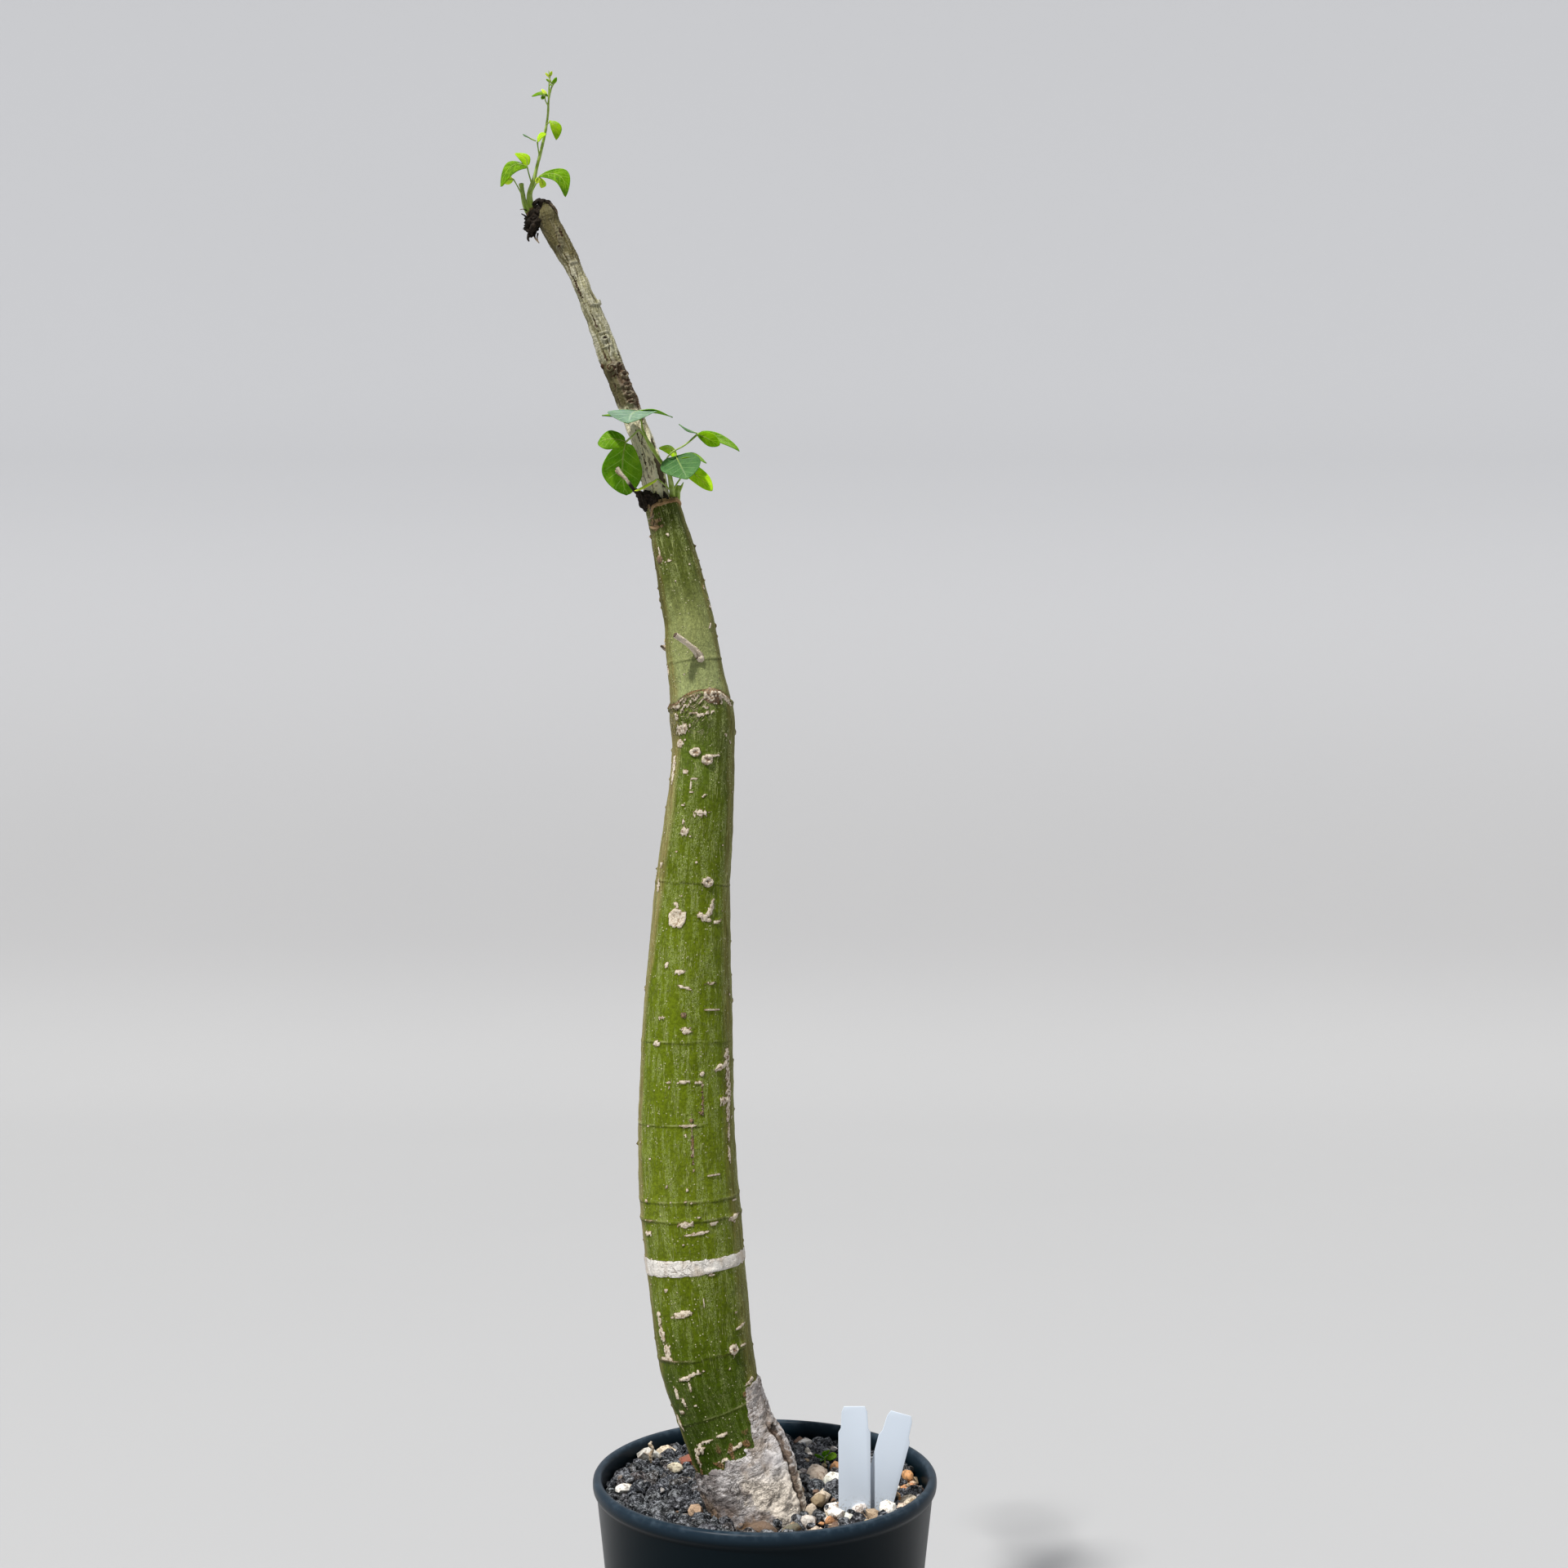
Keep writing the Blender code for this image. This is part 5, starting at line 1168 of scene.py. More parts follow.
# Dead wood. Blackened rot where the top was cut and where the branch broke off, with dry
# twigs left standing in it. Each is a broken end of the same stem and stays joined to it.
# Middle lines as (right, back, up, radius), and how black each is from foot to tip.
DEAD_PIECES = {
    "rotten_crown": ([(-56.0, -8.0, 660.0, 3.4), (-57.8, -9.6, 663.4, 3.8), (-60.6, -10.2, 666.0, 2.8),
        (-62.6, -9.6, 668.8, 0.7)], 1.0, 1.0, 1.5),
    "rotten_crown_left": ([(-60.0, -5.6, 660.0, 3.0), (-62.6, -7.2, 664.2, 3.0),
        (-65.2, -8.4, 667.0, 2.0), (-67.2, -9.0, 669.8, 0.5)], 1.0, 1.0, 1.3),
    "rotten_crown_right": ([(-51.4, -10.0, 660.6, 1.7), (-51.0, -10.8, 663.4, 1.7),
        (-51.8, -10.6, 666.2, 1.1), (-52.6, -10.0, 668.4, 0.4)], 0.9, 1.0, 0.9),
    "rotten_crown_back": ([(-60.0, -1.0, 660.0, 3.0), (-61.6, 0.2, 664.4, 2.6),
        (-62.2, 0.8, 668.4, 1.0)], 1.0, 1.0, 1.2),
    "rotten_splinter": ([(-55.4, -11.6, 661.0, 0.9), (-55.8, -12.4, 664.6, 0.8),
        (-56.6, -12.2, 668.0, 0.3)], 0.9, 0.7, 0.4),
    "rotten_splinter_left": ([(-61.8, -10.6, 661.0, 1.0), (-63.4, -11.4, 665.0, 0.8),
        (-64.8, -11.2, 667.6, 0.3)], 0.9, 0.8, 0.4),
    "brown_lip": ([(-59.2, -10.0, 654.4, 0.35), (-58.8, -11.2, 656.8, 0.6),
        (-58.2, -12.2, 659.4, 0.75), (-56.2, -13.1, 660.9, 1.0), (-53.4, -13.6, 661.2, 0.8),
        (-51.0, -13.0, 662.5, 1.1), (-48.2, -11.6, 663.2, 0.85), (-45.8, -9.2, 663.7, 1.1),
        (-43.9, -6.6, 661.6, 0.7)], 0.10, 0.05, 0.55),
    "brown_flap": ([(-59.8, -9.4, 650.0, 0.4), (-58.4, -10.9, 649.2, 0.75), (-56.4, -12.1, 648.9, 0.8),
        (-54.4, -12.9, 649.4, 0.6)], 0.1, 0.05, 0.4),
    "dry_twig": ([(-62.6, -8.0, 664.4, 1.6), (-66.0, -9.6, 667.2, 1.2), (-68.5, -11, 669.6, 0.95),
        (-72.2, -13, 674.4, 0.85), (-74.6, -13.6, 677.0, 0.95), (-76.6, -14, 680.2, 1.05)], 1.35, 0.05,
        0.4),
    "dry_twig_split": ([(-72.8, -13.0, 674.8, 0.7), (-75.6, -13.2, 676.8, 0.7),
        (-77.4, -13.4, 678.6, 0.4)], 0.2, 0.1, 0.4),
    "broken_tip": ([(-116.6, 5.0, 815.0, 3.0), (-119.2, 4.8, 817.2, 3.6), (-121.8, 4.6, 814.6, 3.7),
        (-122.8, 4.2, 810.6, 3.6), (-122.8, 3.8, 806.8, 2.3), (-123.4, 3.4, 804.2, 0.8)], 1.0, 1.0,
        2.0),
    "broken_tip_front": ([(-118.6, 1.6, 812.6, 1.5), (-120.6, 0.8, 810.4, 1.7),
        (-122.2, 1.0, 807.4, 1.4), (-122.2, 1.8, 804.6, 0.5)], 1.0, 0.9, 1.2),
    "broken_crest": ([(-122.6, 4.6, 819.0, 1.0), (-120.4, 3.0, 822.6, 1.0), (-116.6, 2.4, 823.0, 1.0),
        (-113.0, 1.8, 821.2, 0.9), (-110.2, 2.2, 818.4, 0.6), (-109.2, 3.0, 816.0, 0.3)], 1.0, 0.45,
        1.0),
    "broken_crest_back": ([(-121.6, 6.4, 819.2, 1.2), (-118.2, 7.0, 823.0, 0.9),
        (-114.6, 6.8, 823.2, 0.7), (-112.0, 6.4, 820.6, 0.4)], 1.0, 0.8, 1.0),
    "hanging_twiglet": ([(-121.0, 4.0, 807.6, 0.7), (-121.2, 2.6, 804.0, 0.5),
        (-120.0, 2.2, 802.0, 0.42), (-118.8, 2.0, 800.6, 0.3)], 1.0, 0.35, 0.15),
    "hanging_twiglet_mid": ([(-119.6, 3.2, 806.0, 0.5), (-119.9, 2.6, 803.6, 0.34),
        (-119.4, 2.4, 801.2, 0.24)], 1.0, 0.3, 0.1),
    "hanging_twiglet_left": ([(-124.0, 3.6, 806.4, 0.9), (-124.8, 2.6, 803.2, 0.7),
        (-124.2, 2.4, 801.6, 0.4)], 1.0, 1.0, 0.3),
    "dead_spur_left": ([(-124.2, 4.6, 813.0, 1.1), (-126.4, 4.2, 815.4, 0.5),
        (-128.4, 4.0, 816.6, 0.25)], 1.0, 0.8, 0.2),
    "dead_spur_low": ([(-124.0, 4.4, 808.6, 1.1), (-126.0, 4.0, 809.4, 0.5),
        (-127.2, 3.8, 809.2, 0.25)], 1.0, 0.8, 0.2),
    "dead_spur_thin": ([(-124.4, 3.6, 817.4, 0.5), (-127.0, 3.0, 818.6, 0.26),
        (-129.0, 3.0, 818.4, 0.18)], 0.8, 0.4, 0.1),
    "twig_stub": ([(-36.2, -9.0, 576.4, 3.0), (-34.4, -16.8, 580.6, 2.8), (-33.9, -20.4, 581.8, 2.5),
        (-35.2, -23.0, 584.0, 1.8), (-39.4, -26.6, 587.8, 1.45), (-45.6, -31.6, 592.0, 1.5)], -0.15,
        -0.4, 0.26),
    "twig_stub_base": ([(-33.4, -17.6, 578.6, 1.4), (-32.8, -21.6, 580.4, 1.9),
        (-34.6, -22.8, 581.4, 1.2)], -0.1, -0.1, 0.5),
    "thorn_bud": ([(-46.6, -8.0, 585.6, 2.7), (-49.6, -8.0, 586.4, 2.2), (-52.4, -8.0, 587.2, 1.3),
        (-54.4, -8.0, 588.0, 0.5)], 0.1, 0.45, 0.2),
}

callus_look = wood_look("brown_callus", 700, (0.200, 0.115, 0.050), (0.400, 0.255, 0.125),
    (0.520, 0.370, 0.210), 0.0)
dead_look = wood_look("dead_wood", 1200, (0.290, 0.200, 0.115), (0.540, 0.410, 0.270),
    (0.820, 0.730, 0.590), 0.0)
for number, (name, (line, foot_char, tip_char, rugged)) in enumerate(DEAD_PIECES.items()):
    chip = Stem(name, smooth_line(line, 0.45), 26)
    chip.paint = {part: np.zeros(len(chip.skin)) for part in ("cork", "dark", "char")}
    share = chip.path / chip.length[-1]
    grain = np.stack((np.sin(chip.turn) * chip.radius, np.cos(chip.turn) * chip.radius,
        chip.path * 0.25), axis=1)
    coarse, medium = ripple(chip.skin, 4.2, 900 + number), ripple(chip.skin, 1.7, 930 + number)
    lumps = 0.42 * coarse + 0.42 * medium + 0.16 * ripple(chip.skin, 0.9, 945 + number)
    chip.rise += rugged * lumps * np.minimum(1.2, chip.radius / 1.6)
    chip.rise += 0.16 * ripple(grain, 1.4, 960 + number) * np.minimum(1, chip.radius / 1.4)
    chip.rise = np.maximum(chip.rise, -0.7 * chip.radius)
    if tip_char < 0.08:
        chip.rise -= soft(chip.path, chip.length[-1] - 0.3, chip.length[-1]) * chip.radius * 0.25
        chip.paint["dark"] = soft(chip.path, chip.length[-1] - 0.6, chip.length[-1] - 0.1)
        chip.paint["cork"] = 0.5 + 0.5 * share
        if name.startswith("brown"):
            chip.paint["cork"] *= 0.3
            chip.paint["dark"] = 0.12 + 0.30 * ripple(chip.skin, 2.2, 977)
    chip.paint["char"] = (foot_char + (tip_char - foot_char) * soft(share, 0.0, 0.9)
        + 0.1 * ripple(chip.skin, 3, 990 + number))
    piece = chip.finish()
    piece.data.materials.append(callus_look if name.startswith("brown") else dead_look)
    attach(piece, "root")
    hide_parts("trunk")


# Shoots. Two soft green shoots: one from the broken tip of the branch, one from the cut top
# of the trunk, each beside the green stump of an earlier shoot. Smooth skin with a pale bloom.
SHOOTS = {
    "top_stem": ("top_shoot", [
        (-122.4, 5, 817.0, 2.4), (-123.4, 5, 820.0, 2.1), (-124.2, 5, 827.0, 1.5),
        (-121.6, 4.5, 835.6, 1.05), (-120.2, 4.3, 841.6, 0.85),
        (-118.6, 4, 847.5, 0.85), (-116.5, 3.5, 856.0, 0.75), (-115.3, 3, 861.6, 0.70),
        (-114.6, 3, 866.0, 0.58), (-114.2, 3, 870.3, 0.62),
        (-113.9, 3, 876.1, 0.52), (-112.7, 2.5, 881.6, 0.46), (-111.2, 2.5, 884.7, 0.40),
    ]),
    "top_stump": ("top_shoot", [
        (-123.2, 5, 815.5, 2.2), (-125.2, 5, 819.2, 2.0), (-127.0, 5, 823.0, 1.4),
        (-127.9, 5.5, 827.7, 1.2), (-128.8, 6, 832.8, 1.2),
    ]),
    "top_leader": ("top_shoot", [
        (-113.9, 3, 876.6, 0.5), (-113.5, 2, 884.7, 0.36), (-113.3, 2, 887.4, 0.40),
        (-113.3, 2, 888.6, 0.62), (-113.5, 2, 889.8, 0.36),
        (-113.8, 2, 891.2, 0.16),
    ]),
    "side_stem": ("side_shoot", [
        (-47.6, -5.6, 660.6, 1.9), (-48.3, -7.6, 668.0, 1.5), (-48.6, -8.6, 671.0, 1.45),
        (-49.6, -11, 676.9, 1.2), (-51.4, -11.8, 679.6, 1.2),
        (-53.2, -12.5, 682.4, 1.0), (-57.8, -13.5, 688.8, 0.9), (-60.2, -14.2, 693.0, 0.95),
        (-61.6, -14.6, 695.8, 0.72), (-63.0, -15.5, 699.4, 0.66),
    ]),
    "side_stump": ("side_shoot", [
        (-46.6, -5, 659.6, 2.2), (-46.0, -5, 664.0, 1.75), (-45.6, -5, 668.4, 1.5),
        (-45.4, -5, 671.9, 1.55),
    ]),
    "side_bud": ("side_shoot", [(-54.6, -12.9, 684.0, 0.5), (-57.0, -14.0, 688.0, 0.85),
        (-58.0, -14.6, 690.6, 0.75), (-58.6, -14.8, 692.8, 0.2)]),
    "side_stipule": ("side_shoot",
        [(-44.6, -5.4, 668.6, 0.6), (-43.4, -6.0, 671.6, 0.6), (-42.4, -6.4, 673.6, 0.16)]),
}

STEM_GREEN = (0.170, 0.270, 0.022)
STEM_LIGHT = (0.330, 0.440, 0.085)
ROOT_BLOOM = (0.62, 0.68, 0.30)
STEM_BLOOM = (0.52, 0.58, 0.36)
WOODY_BROWN = (0.16, 0.10, 0.042)
shoot_look, shader, flow = new_look("green_shoot", 0.5, 0.12)
spot = flow.attribute("straight", "Vector")
woody = flow.attribute("woody")
streaks = spot.stretched(1, 1, 0.08).noise(1300, 3, 0.6)
bloom = spot.noise(260, 3).step(0.42, 0.66)
tone = streaks.step(0.36, 0.64).blend(STEM_GREEN, STEM_LIGHT)
side_root = places(flow).part("Z").step(0.705, 0.690)
tone = (side_root * bloom * 0.3).blend(tone, ROOT_BLOOM)
tone = (bloom * 0.22).blend(tone, STEM_BLOOM)
tone = (woody + 0.4 * (streaks - 0.5)).step(0.3, 0.7).blend(tone, WOODY_BROWN)
tone.feed(shader, "Base Color")
(0.36 + 0.3 * bloom).feed(shader, "Roughness")
carved(flow, streaks + 0.5 * bloom, 0.00018, 0.7).feed(shader, "Normal")
shader.inputs["Subsurface Weight"].default_value = 0.25
shader.inputs["Subsurface Radius"].default_value = (0.5, 1.0, 0.25)
shader.inputs["Subsurface Scale"].default_value = 0.001

for number, (name, (node, line)) in enumerate(SHOOTS.items()):
    shoot = Stem(name, smooth_line(line, 0.4), 20)
    shoot.rise += 0.05 * ripple(shoot.skin, 3.0, 1100 + number) * np.minimum(1, shoot.radius)
    shoot.paint = {"woody": 0.75 * soft(shoot.path, 4.2, 1.6)}
    if name in ("top_stump", "side_stump"):
        end = shoot.length[-1]
        shoot.colour("woody", 0.55 * soft(shoot.path, end - 0.8, end - 0.2))
        shoot.rise += 0.16 * soft(shoot.path, end - 1.4, end - 0.5)
    if name in ("side_bud", "side_stipule", "top_leader"):
        shoot.paint["woody"] *= 0
    piece = shoot.finish()
    piece.data.materials.append(shoot_look)
    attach(piece, "root")
    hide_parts(node)


# Leaves. Thin soft leaves of one to five rounded leaflets on fine stalks. The upper face is
# blue-green with a waxy bloom, the under face a brighter green with raised veins.
# Each leaf: its stalk, the stalk's radius, and its leaflets as base, tip, half width across,
# widest place, bow of the rib, and which face is turned to the front.
LEAVES = {
    "top_leaf_a": ([(-113.9, 3, 872.6), (-115.4, 1, 875.3), (-115.6, 0, 877.6)], 0.34, [
        ((-116.0, 0, 878.2), (-122.2, -2, 876.3), (0.3, 2.6, 1.8), 0.45, (0, 0, 1.2), "fresh"),
        ((-115.6, 0.2, 878.0), (-117.1, 3, 881.8), (1.2, 1.0, -0.2), 0.5, (0.4, 0, 0.2), "new"),
        ((-115.8, -0.2, 877.4), (-117.1, -2, 874.9), (0.7, 0.7, -0.4), 0.5, (0, 0, 0), "fresh"),
        ((-115.3, -0.2, 877.7), (-113.8, -2.4, 876.8), (0.3, 0.6, -0.6), 0.5, (0, 0, 0), "fresh"),
    ]),
    "top_leaf_b": ([(-115.0, 3, 863.4), (-113.8, 1, 863.4), (-112.5, -1, 863.7)], 0.34, [
        ((-112.6, -1.1, 863.9), (-109.2, -4, 852.9), (2.5, 2.6, 0.6), 0.5, (1.4, -1.5, 1.2), "lit"),
    ]),
    "top_leaf_c": ([(-118.8, 4, 846.0), (-119.4, 2, 850.8), (-119.6, 1, 853.6)], 0.36, [
        ((-119.5, 1, 853.8), (-114.4, -3.4, 856.2), (-0.7, 2.2, 2.1), 0.45, (-0.3, 0, 0.7), "bright"),
        ((-123.2, 0, 854.9), (-127.0, -1, 856.9), (0.3, 2.5, 0.6), 0.5, (0, 0, 0.2), "upper"),
    ]),
    "top_leaf_d": ([(-122.8, 4.8, 831.6), (-124.2, 1, 837.1), (-124.9, 0, 840.2)], 0.38, [
        ((-125.0, 0.2, 840.6), (-131.0, -1, 846.8), (2.2, 2.6, 1.7), 0.5, (1.8, 1.0, 1.6), "bright"),
        ((-125.3, -0.3, 840.4), (-137.9, -6, 828.0), (-2.3, 3.4, 3.6), 0.5, (-1.3, -1.0, 4.5), "deep"),
    ]),
    "top_leaf_e": ([(-124.0, 4.8, 826.8), (-121.2, 1, 829.8), (-118.4, -1, 834.6)], 0.40, [
        ((-117.8, -1, 835.2), (-104.0, -6, 822.6), (3.2, 3.4, 3.6), 0.45, (4.0, -1.0, 4.6), "deep"),
        ((-118.1, -0.6, 834.2), (-117.7, 1, 829.3), (1.7, 1.5, -0.2), 0.5, (1.0, 0, 0), "new"),
        ((-118.7, -1.1, 834.2), (-119.4, -3.6, 830.2), (0.9, 1.2, -0.2), 0.5, (-0.2, 0, 0), "new"),
    ]),
    "top_leaf_k": ([(-127.9, 5.2, 826.2), (-130.7, 1, 831.3), (-131.9, -1.5, 833.0)], 0.34, [
        ((-132.1, -1.7, 833.2), (-137.8, -2.0, 831.6), (0.4, 2.2, -1.5), 0.5, (0, 0, 0.3), "new"),
    ]),
    "side_leaf_f": ([(-63.0, -15.5, 698.6), (-64.0, -16.3, 704.6), (-64.9, -16.9, 708.4)], 0.50, [
        ((-65.2, -17.4, 708.6), (-68.7, -37, 698.8), (12.4, 2.5, 0.6), 0.5, (-0.9, 0, 1.5), "bloomed"),
        ((-65.7, -16.7, 708.6), (-84.0, -17, 706.3), (0.2, 8.0, 1.1), 0.45, (0, 0, 0.4), "under"),
        ((-64.3, -16.7, 708.7), (-47.7, -15, 705.9), (0.2, 8.0, 1.0), 0.45, (0, 0, 0.5), "under"),
    ]),
    "side_leaf_g": ([(-60.6, -14.4, 693.8), (-63.7, -17.4, 697.5), (-65.3, -17.6, 698.6),
        (-68.2, -16, 696.2), (-71.8, -13.8, 693.4)], 0.46, [
        ((-72.2, -13.5, 693.4), (-86.3, -16, 692.2), (0.3, 2.5, 5.3), 0.5, (-0.4, -1.0, 1.7), "under"),
        ((-72.2, -13.2, 692.8), (-72.3, -6, 666.8), (10.4, -1.5, -0.3), 0.52, (-1.9, 1.0, 0), "under"),
    ]),
    "side_leaf_h": ([(-48.0, -6.8, 668.4), (-45.6, -9.0, 672.6), (-43.8, -10.5, 675.2),
        (-43.6, -12.5, 679.2), (-45.3, -16, 684.0)], 0.50, [
        ((-45.8, -17, 685.2), (-39.0, -33, 671.2), (9.7, 3.0, 3.2), 0.42, (0, 2.0, 0), "upper"),
        ((-44.6, -15.8, 682.6), (-27.1, -14, 668.0), (2.9, 3.0, 3.3), 0.5, (0.6, 1.0, 0.4), "bright"),
        ((-44.9, -16, 684.5), (-30.3, -11, 682.7), (-0.4, 4.0, 2.0), 0.5, (0, 0, 2.2), "under"),
        ((-45.8, -16, 684.5), (-55.0, -10.5, 690.6), (1.0, 3.0, 2.3), 0.5, (1.3, 0, 2.1), "bright"),
    ]),
    "side_leaf_i": ([(-52.4, -12.0, 680.8), (-50.4, -18.6, 684.0), (-47.4, -19.4, 687.2),
        (-41.3, -13.5, 691.8), (-35.2, -10.5, 697.6)], 0.46, [
        ((-35.4, -10.4, 698.4), (-44.7, -9, 703.3), (0.3, 5.2, 0.8), 0.5, (0, 0, -0.3), "upper"),
        ((-34.8, -10.8, 697.9), (-23.2, -19, 690.8), (-1.4, 1.6, -2.8), 0.55, (0, 0, 0.2), "fresh"),
        ((-34.6, -10.3, 698.3), (-13.4, -4, 690.0), (1.1, 4.5, 2.4), 0.42, (0.7, 0, 1.6), "under"),
    ]),
    "side_leaf_j": ([(-48.4, -7.6, 668.6), (-52.6, -14.5, 671.6), (-55.2, -15.6, 673.8)], 0.36, [
        ((-55.5, -15.5, 673.9), (-67.2, -17.4, 667.4), (-0.5, 3.0, 0.9), 0.45, (0, 0, -0.3), "new"),
    ]),
    "top_shoot": ([(-113.4, 2.2, 883.4), (-113.3, 1.8, 885.4), (-113.4, 1.9, 887.6)], 0.20, [
        ((-112.3, 2.2, 884.4), (-109.4, 1.2, 887.4), (0.5, 0.9, -0.5), 0.5, (0.3, 0, -0.2), "fresh"),
        ((-113.4, 1.8, 887.6), (-115.4, 1.2, 889.8), (0.5, 0.5, 0.4), 0.5, (0, 0, 0.2), "new"),
        ((-113.4, 1.8, 888.2), (-112.0, 1.0, 890.6), (0.5, 0.5, -0.3), 0.5, (0.2, 0, 0), "new"),
        ((-113.3, 1.8, 885.2), (-115.0, 1.2, 886.6), (0.3, 0.4, 0.4), 0.5, (0, 0, 0.1), "fresh"),
        ((-113.4, 1.8, 883.8), (-112.0, 1.0, 883.2), (0.2, 0.4, 0.4), 0.5, (0, 0, 0.1), "fresh"),
    ]),
}
BLADE_THICKNESS = 0.00032
# Each face: its deep and light green, and its veins. The 'lit' and 'bright' faces are painted light:
# lighter copies of the green for leaflets that light falls on or shines through. 'new' is the
# yellow-green of young leaflets, made lighter with painted light in the same way.
LEAF_COLOURS = {
    "upper": ((0.038, 0.112, 0.026), (0.068, 0.156, 0.046), (0.15, 0.26, 0.10)),
    "bloomed": ((0.100, 0.180, 0.112), (0.155, 0.245, 0.168), (0.27, 0.37, 0.25)),
    "under": ((0.078, 0.185, 0.003), (0.145, 0.280, 0.008), (0.27, 0.41, 0.07)),
    "fresh": ((0.082, 0.190, 0.001), (0.150, 0.290, 0.002), (0.22, 0.38, 0.012)),
    "deep": ((0.052, 0.128, 0.0008), (0.135, 0.262, 0.003), (0.25, 0.42, 0.03)),
    "lit": ((0.170, 0.300, 0.002), (0.270, 0.430, 0.004), (0.34, 0.52, 0.02)),
    "bright": ((0.270, 0.480, 0.004), (0.400, 0.640, 0.012), (0.48, 0.68, 0.05)),
    "new": ((0.420, 0.620, 0.020), (0.560, 0.720, 0.050), (0.62, 0.76, 0.12)),
}
OTHER_FACE = {"upper": "under", "bloomed": "under", "under": "upper", "fresh": "fresh",
    "deep": "fresh", "lit": "lit", "bright": "bright", "new": "new"}


def leaf_look(name, deep, light, vein, waxy):
    """One face of a leaf, with a rib, side veins and a fine net drawn in the blade's own lengths."""
    look, shader, flow = new_look(name, 0.5, 0.03 + 0.12 * waxy)
    across = flow.node("ShaderNodeUVMap", {}, {}).part("X")
    along = flow.node("ShaderNodeUVMap", {}, {}).part("Y")
    spot = places(flow)
    off = abs(across - 0.5) * 2.0
    rib = off.step(0.075, 0.02) * along.step(0.99, 0.80)
    phase = along * 5.2 - off ** 0.85 * 1.35 + 0.10 * spot.noise(160, 2)
    nearest = abs(flow.sum("FRACT", phase, 0.0) - 0.5)
    side_veins = nearest.step(0.085, 0.02) * off.step(1.0, 0.55)
    net = flow.node("ShaderNodeTexVoronoi", {"feature": "DISTANCE_TO_EDGE"},
        {"Vector": spot, "Scale": 620.0}, out="Distance")
    fine = net.step(0.085, 0.02)
    margin = off.step(0.90, 0.985)
    blotch = spot.noise(190, 4, 0.6)
    tone = blotch.step(0.34, 0.68).blend(deep, light)
    tone = (fine * 0.22).blend(tone, vein)
    tone = (side_veins * 0.75).blend(tone, vein)
    tone = (rib * 0.9).blend(tone, vein)
    tone = (margin * 0.4).blend(tone, light)
    tone.feed(shader, "Base Color")
    (0.44 + waxy * 0.16 + 0.14 * blotch).feed(shader, "Roughness")
    carved(flow, 0.8 * rib + 0.5 * side_veins + 0.2 * fine + 0.5 * blotch, 0.00022, 0.8).feed(shader,
        "Normal")
    shader.inputs["Subsurface Weight"].default_value = 0.40
    shader.inputs["Subsurface Radius"].default_value = (0.55, 1.0, 0.2)
    shader.inputs["Subsurface Scale"].default_value = 0.0016
    return look


leaf_looks = {}
for kind, colours in LEAF_COLOURS.items():
    leaf_looks[kind] = leaf_look("leaf_" + kind, *colours, 1.0 if kind in ("upper", "bloomed") else 0.0)


def leaflet(name, base, tip, half, peak, bow, face, seed):
    """A thin arched blade, from a grid drawn in to a point at its base and its tip."""
    columns, rows = (22, 30) if np.linalg.norm(half) > 3.2 else (12, 16)
    bpy.ops.mesh.primitive_grid_add(x_subdivisions=columns, y_subdivisions=rows, size=0.01,
        location=(0, 0, 0))
    blade = named(name)
    base, tip, half, bow = (np.array(part, float) for part in (base, tip, half, bow))
    size = np.linalg.norm(half)
    normal = np.cross(tip - base, half)
    normal /= np.linalg.norm(normal)
    v, t = np.meshgrid(np.linspace(-1, 1, columns + 1), np.linspace(0, 1, rows + 1))
    v = v.ravel()
    t = t.ravel()
    power = math.log(0.5) / math.log(peak)
    wide = np.sin(np.pi * np.clip(t, 0, 1) ** power).clip(0) ** (0.42 + 0.24 * t)
    wave = 1 + 0.03 * np.sin(9 * t + seed) * np.abs(v)
    cup = 0.09 * size * wide * v * v + 0.035 * size * wide * np.abs(v)
    cup = cup + 0.045 * size * np.sin(7 * t + 3 * v + seed) * np.abs(v) ** 2
    points = base + (tip - base) * t[:, None] + bow * (4 * t * (1 - t))[:, None]
    points = points + half * (v * wide * wave)[:, None] + normal * cup[:, None]
    write_points(blade, points / 1000)
    blade.data.materials.append(leaf_looks[face])
    blade.data.materials.append(leaf_looks[OTHER_FACE[face]])
    select_only(blade)
    bpy.ops.object.mode_set(mode="EDIT")
    bpy.ops.mesh.select_all(action="SELECT")
    bpy.ops.mesh.remove_doubles(threshold=0.000002)
    if normal[1] > 0:
        bpy.ops.mesh.flip_normals()
    bpy.ops.object.mode_set(mode="OBJECT")
    if blade.data.polygons[len(blade.data.polygons) // 2].normal.y > 0:
        blade.data.flip_normals()
    wall = blade.modifiers.new("thickness", "SOLIDIFY")
    wall.thickness = BLADE_THICKNESS
    wall.offset = 0
    wall.material_offset = 1
    bpy.ops.object.modifier_apply(modifier=wall.name)
    bpy.ops.object.shade_smooth()
    return blade


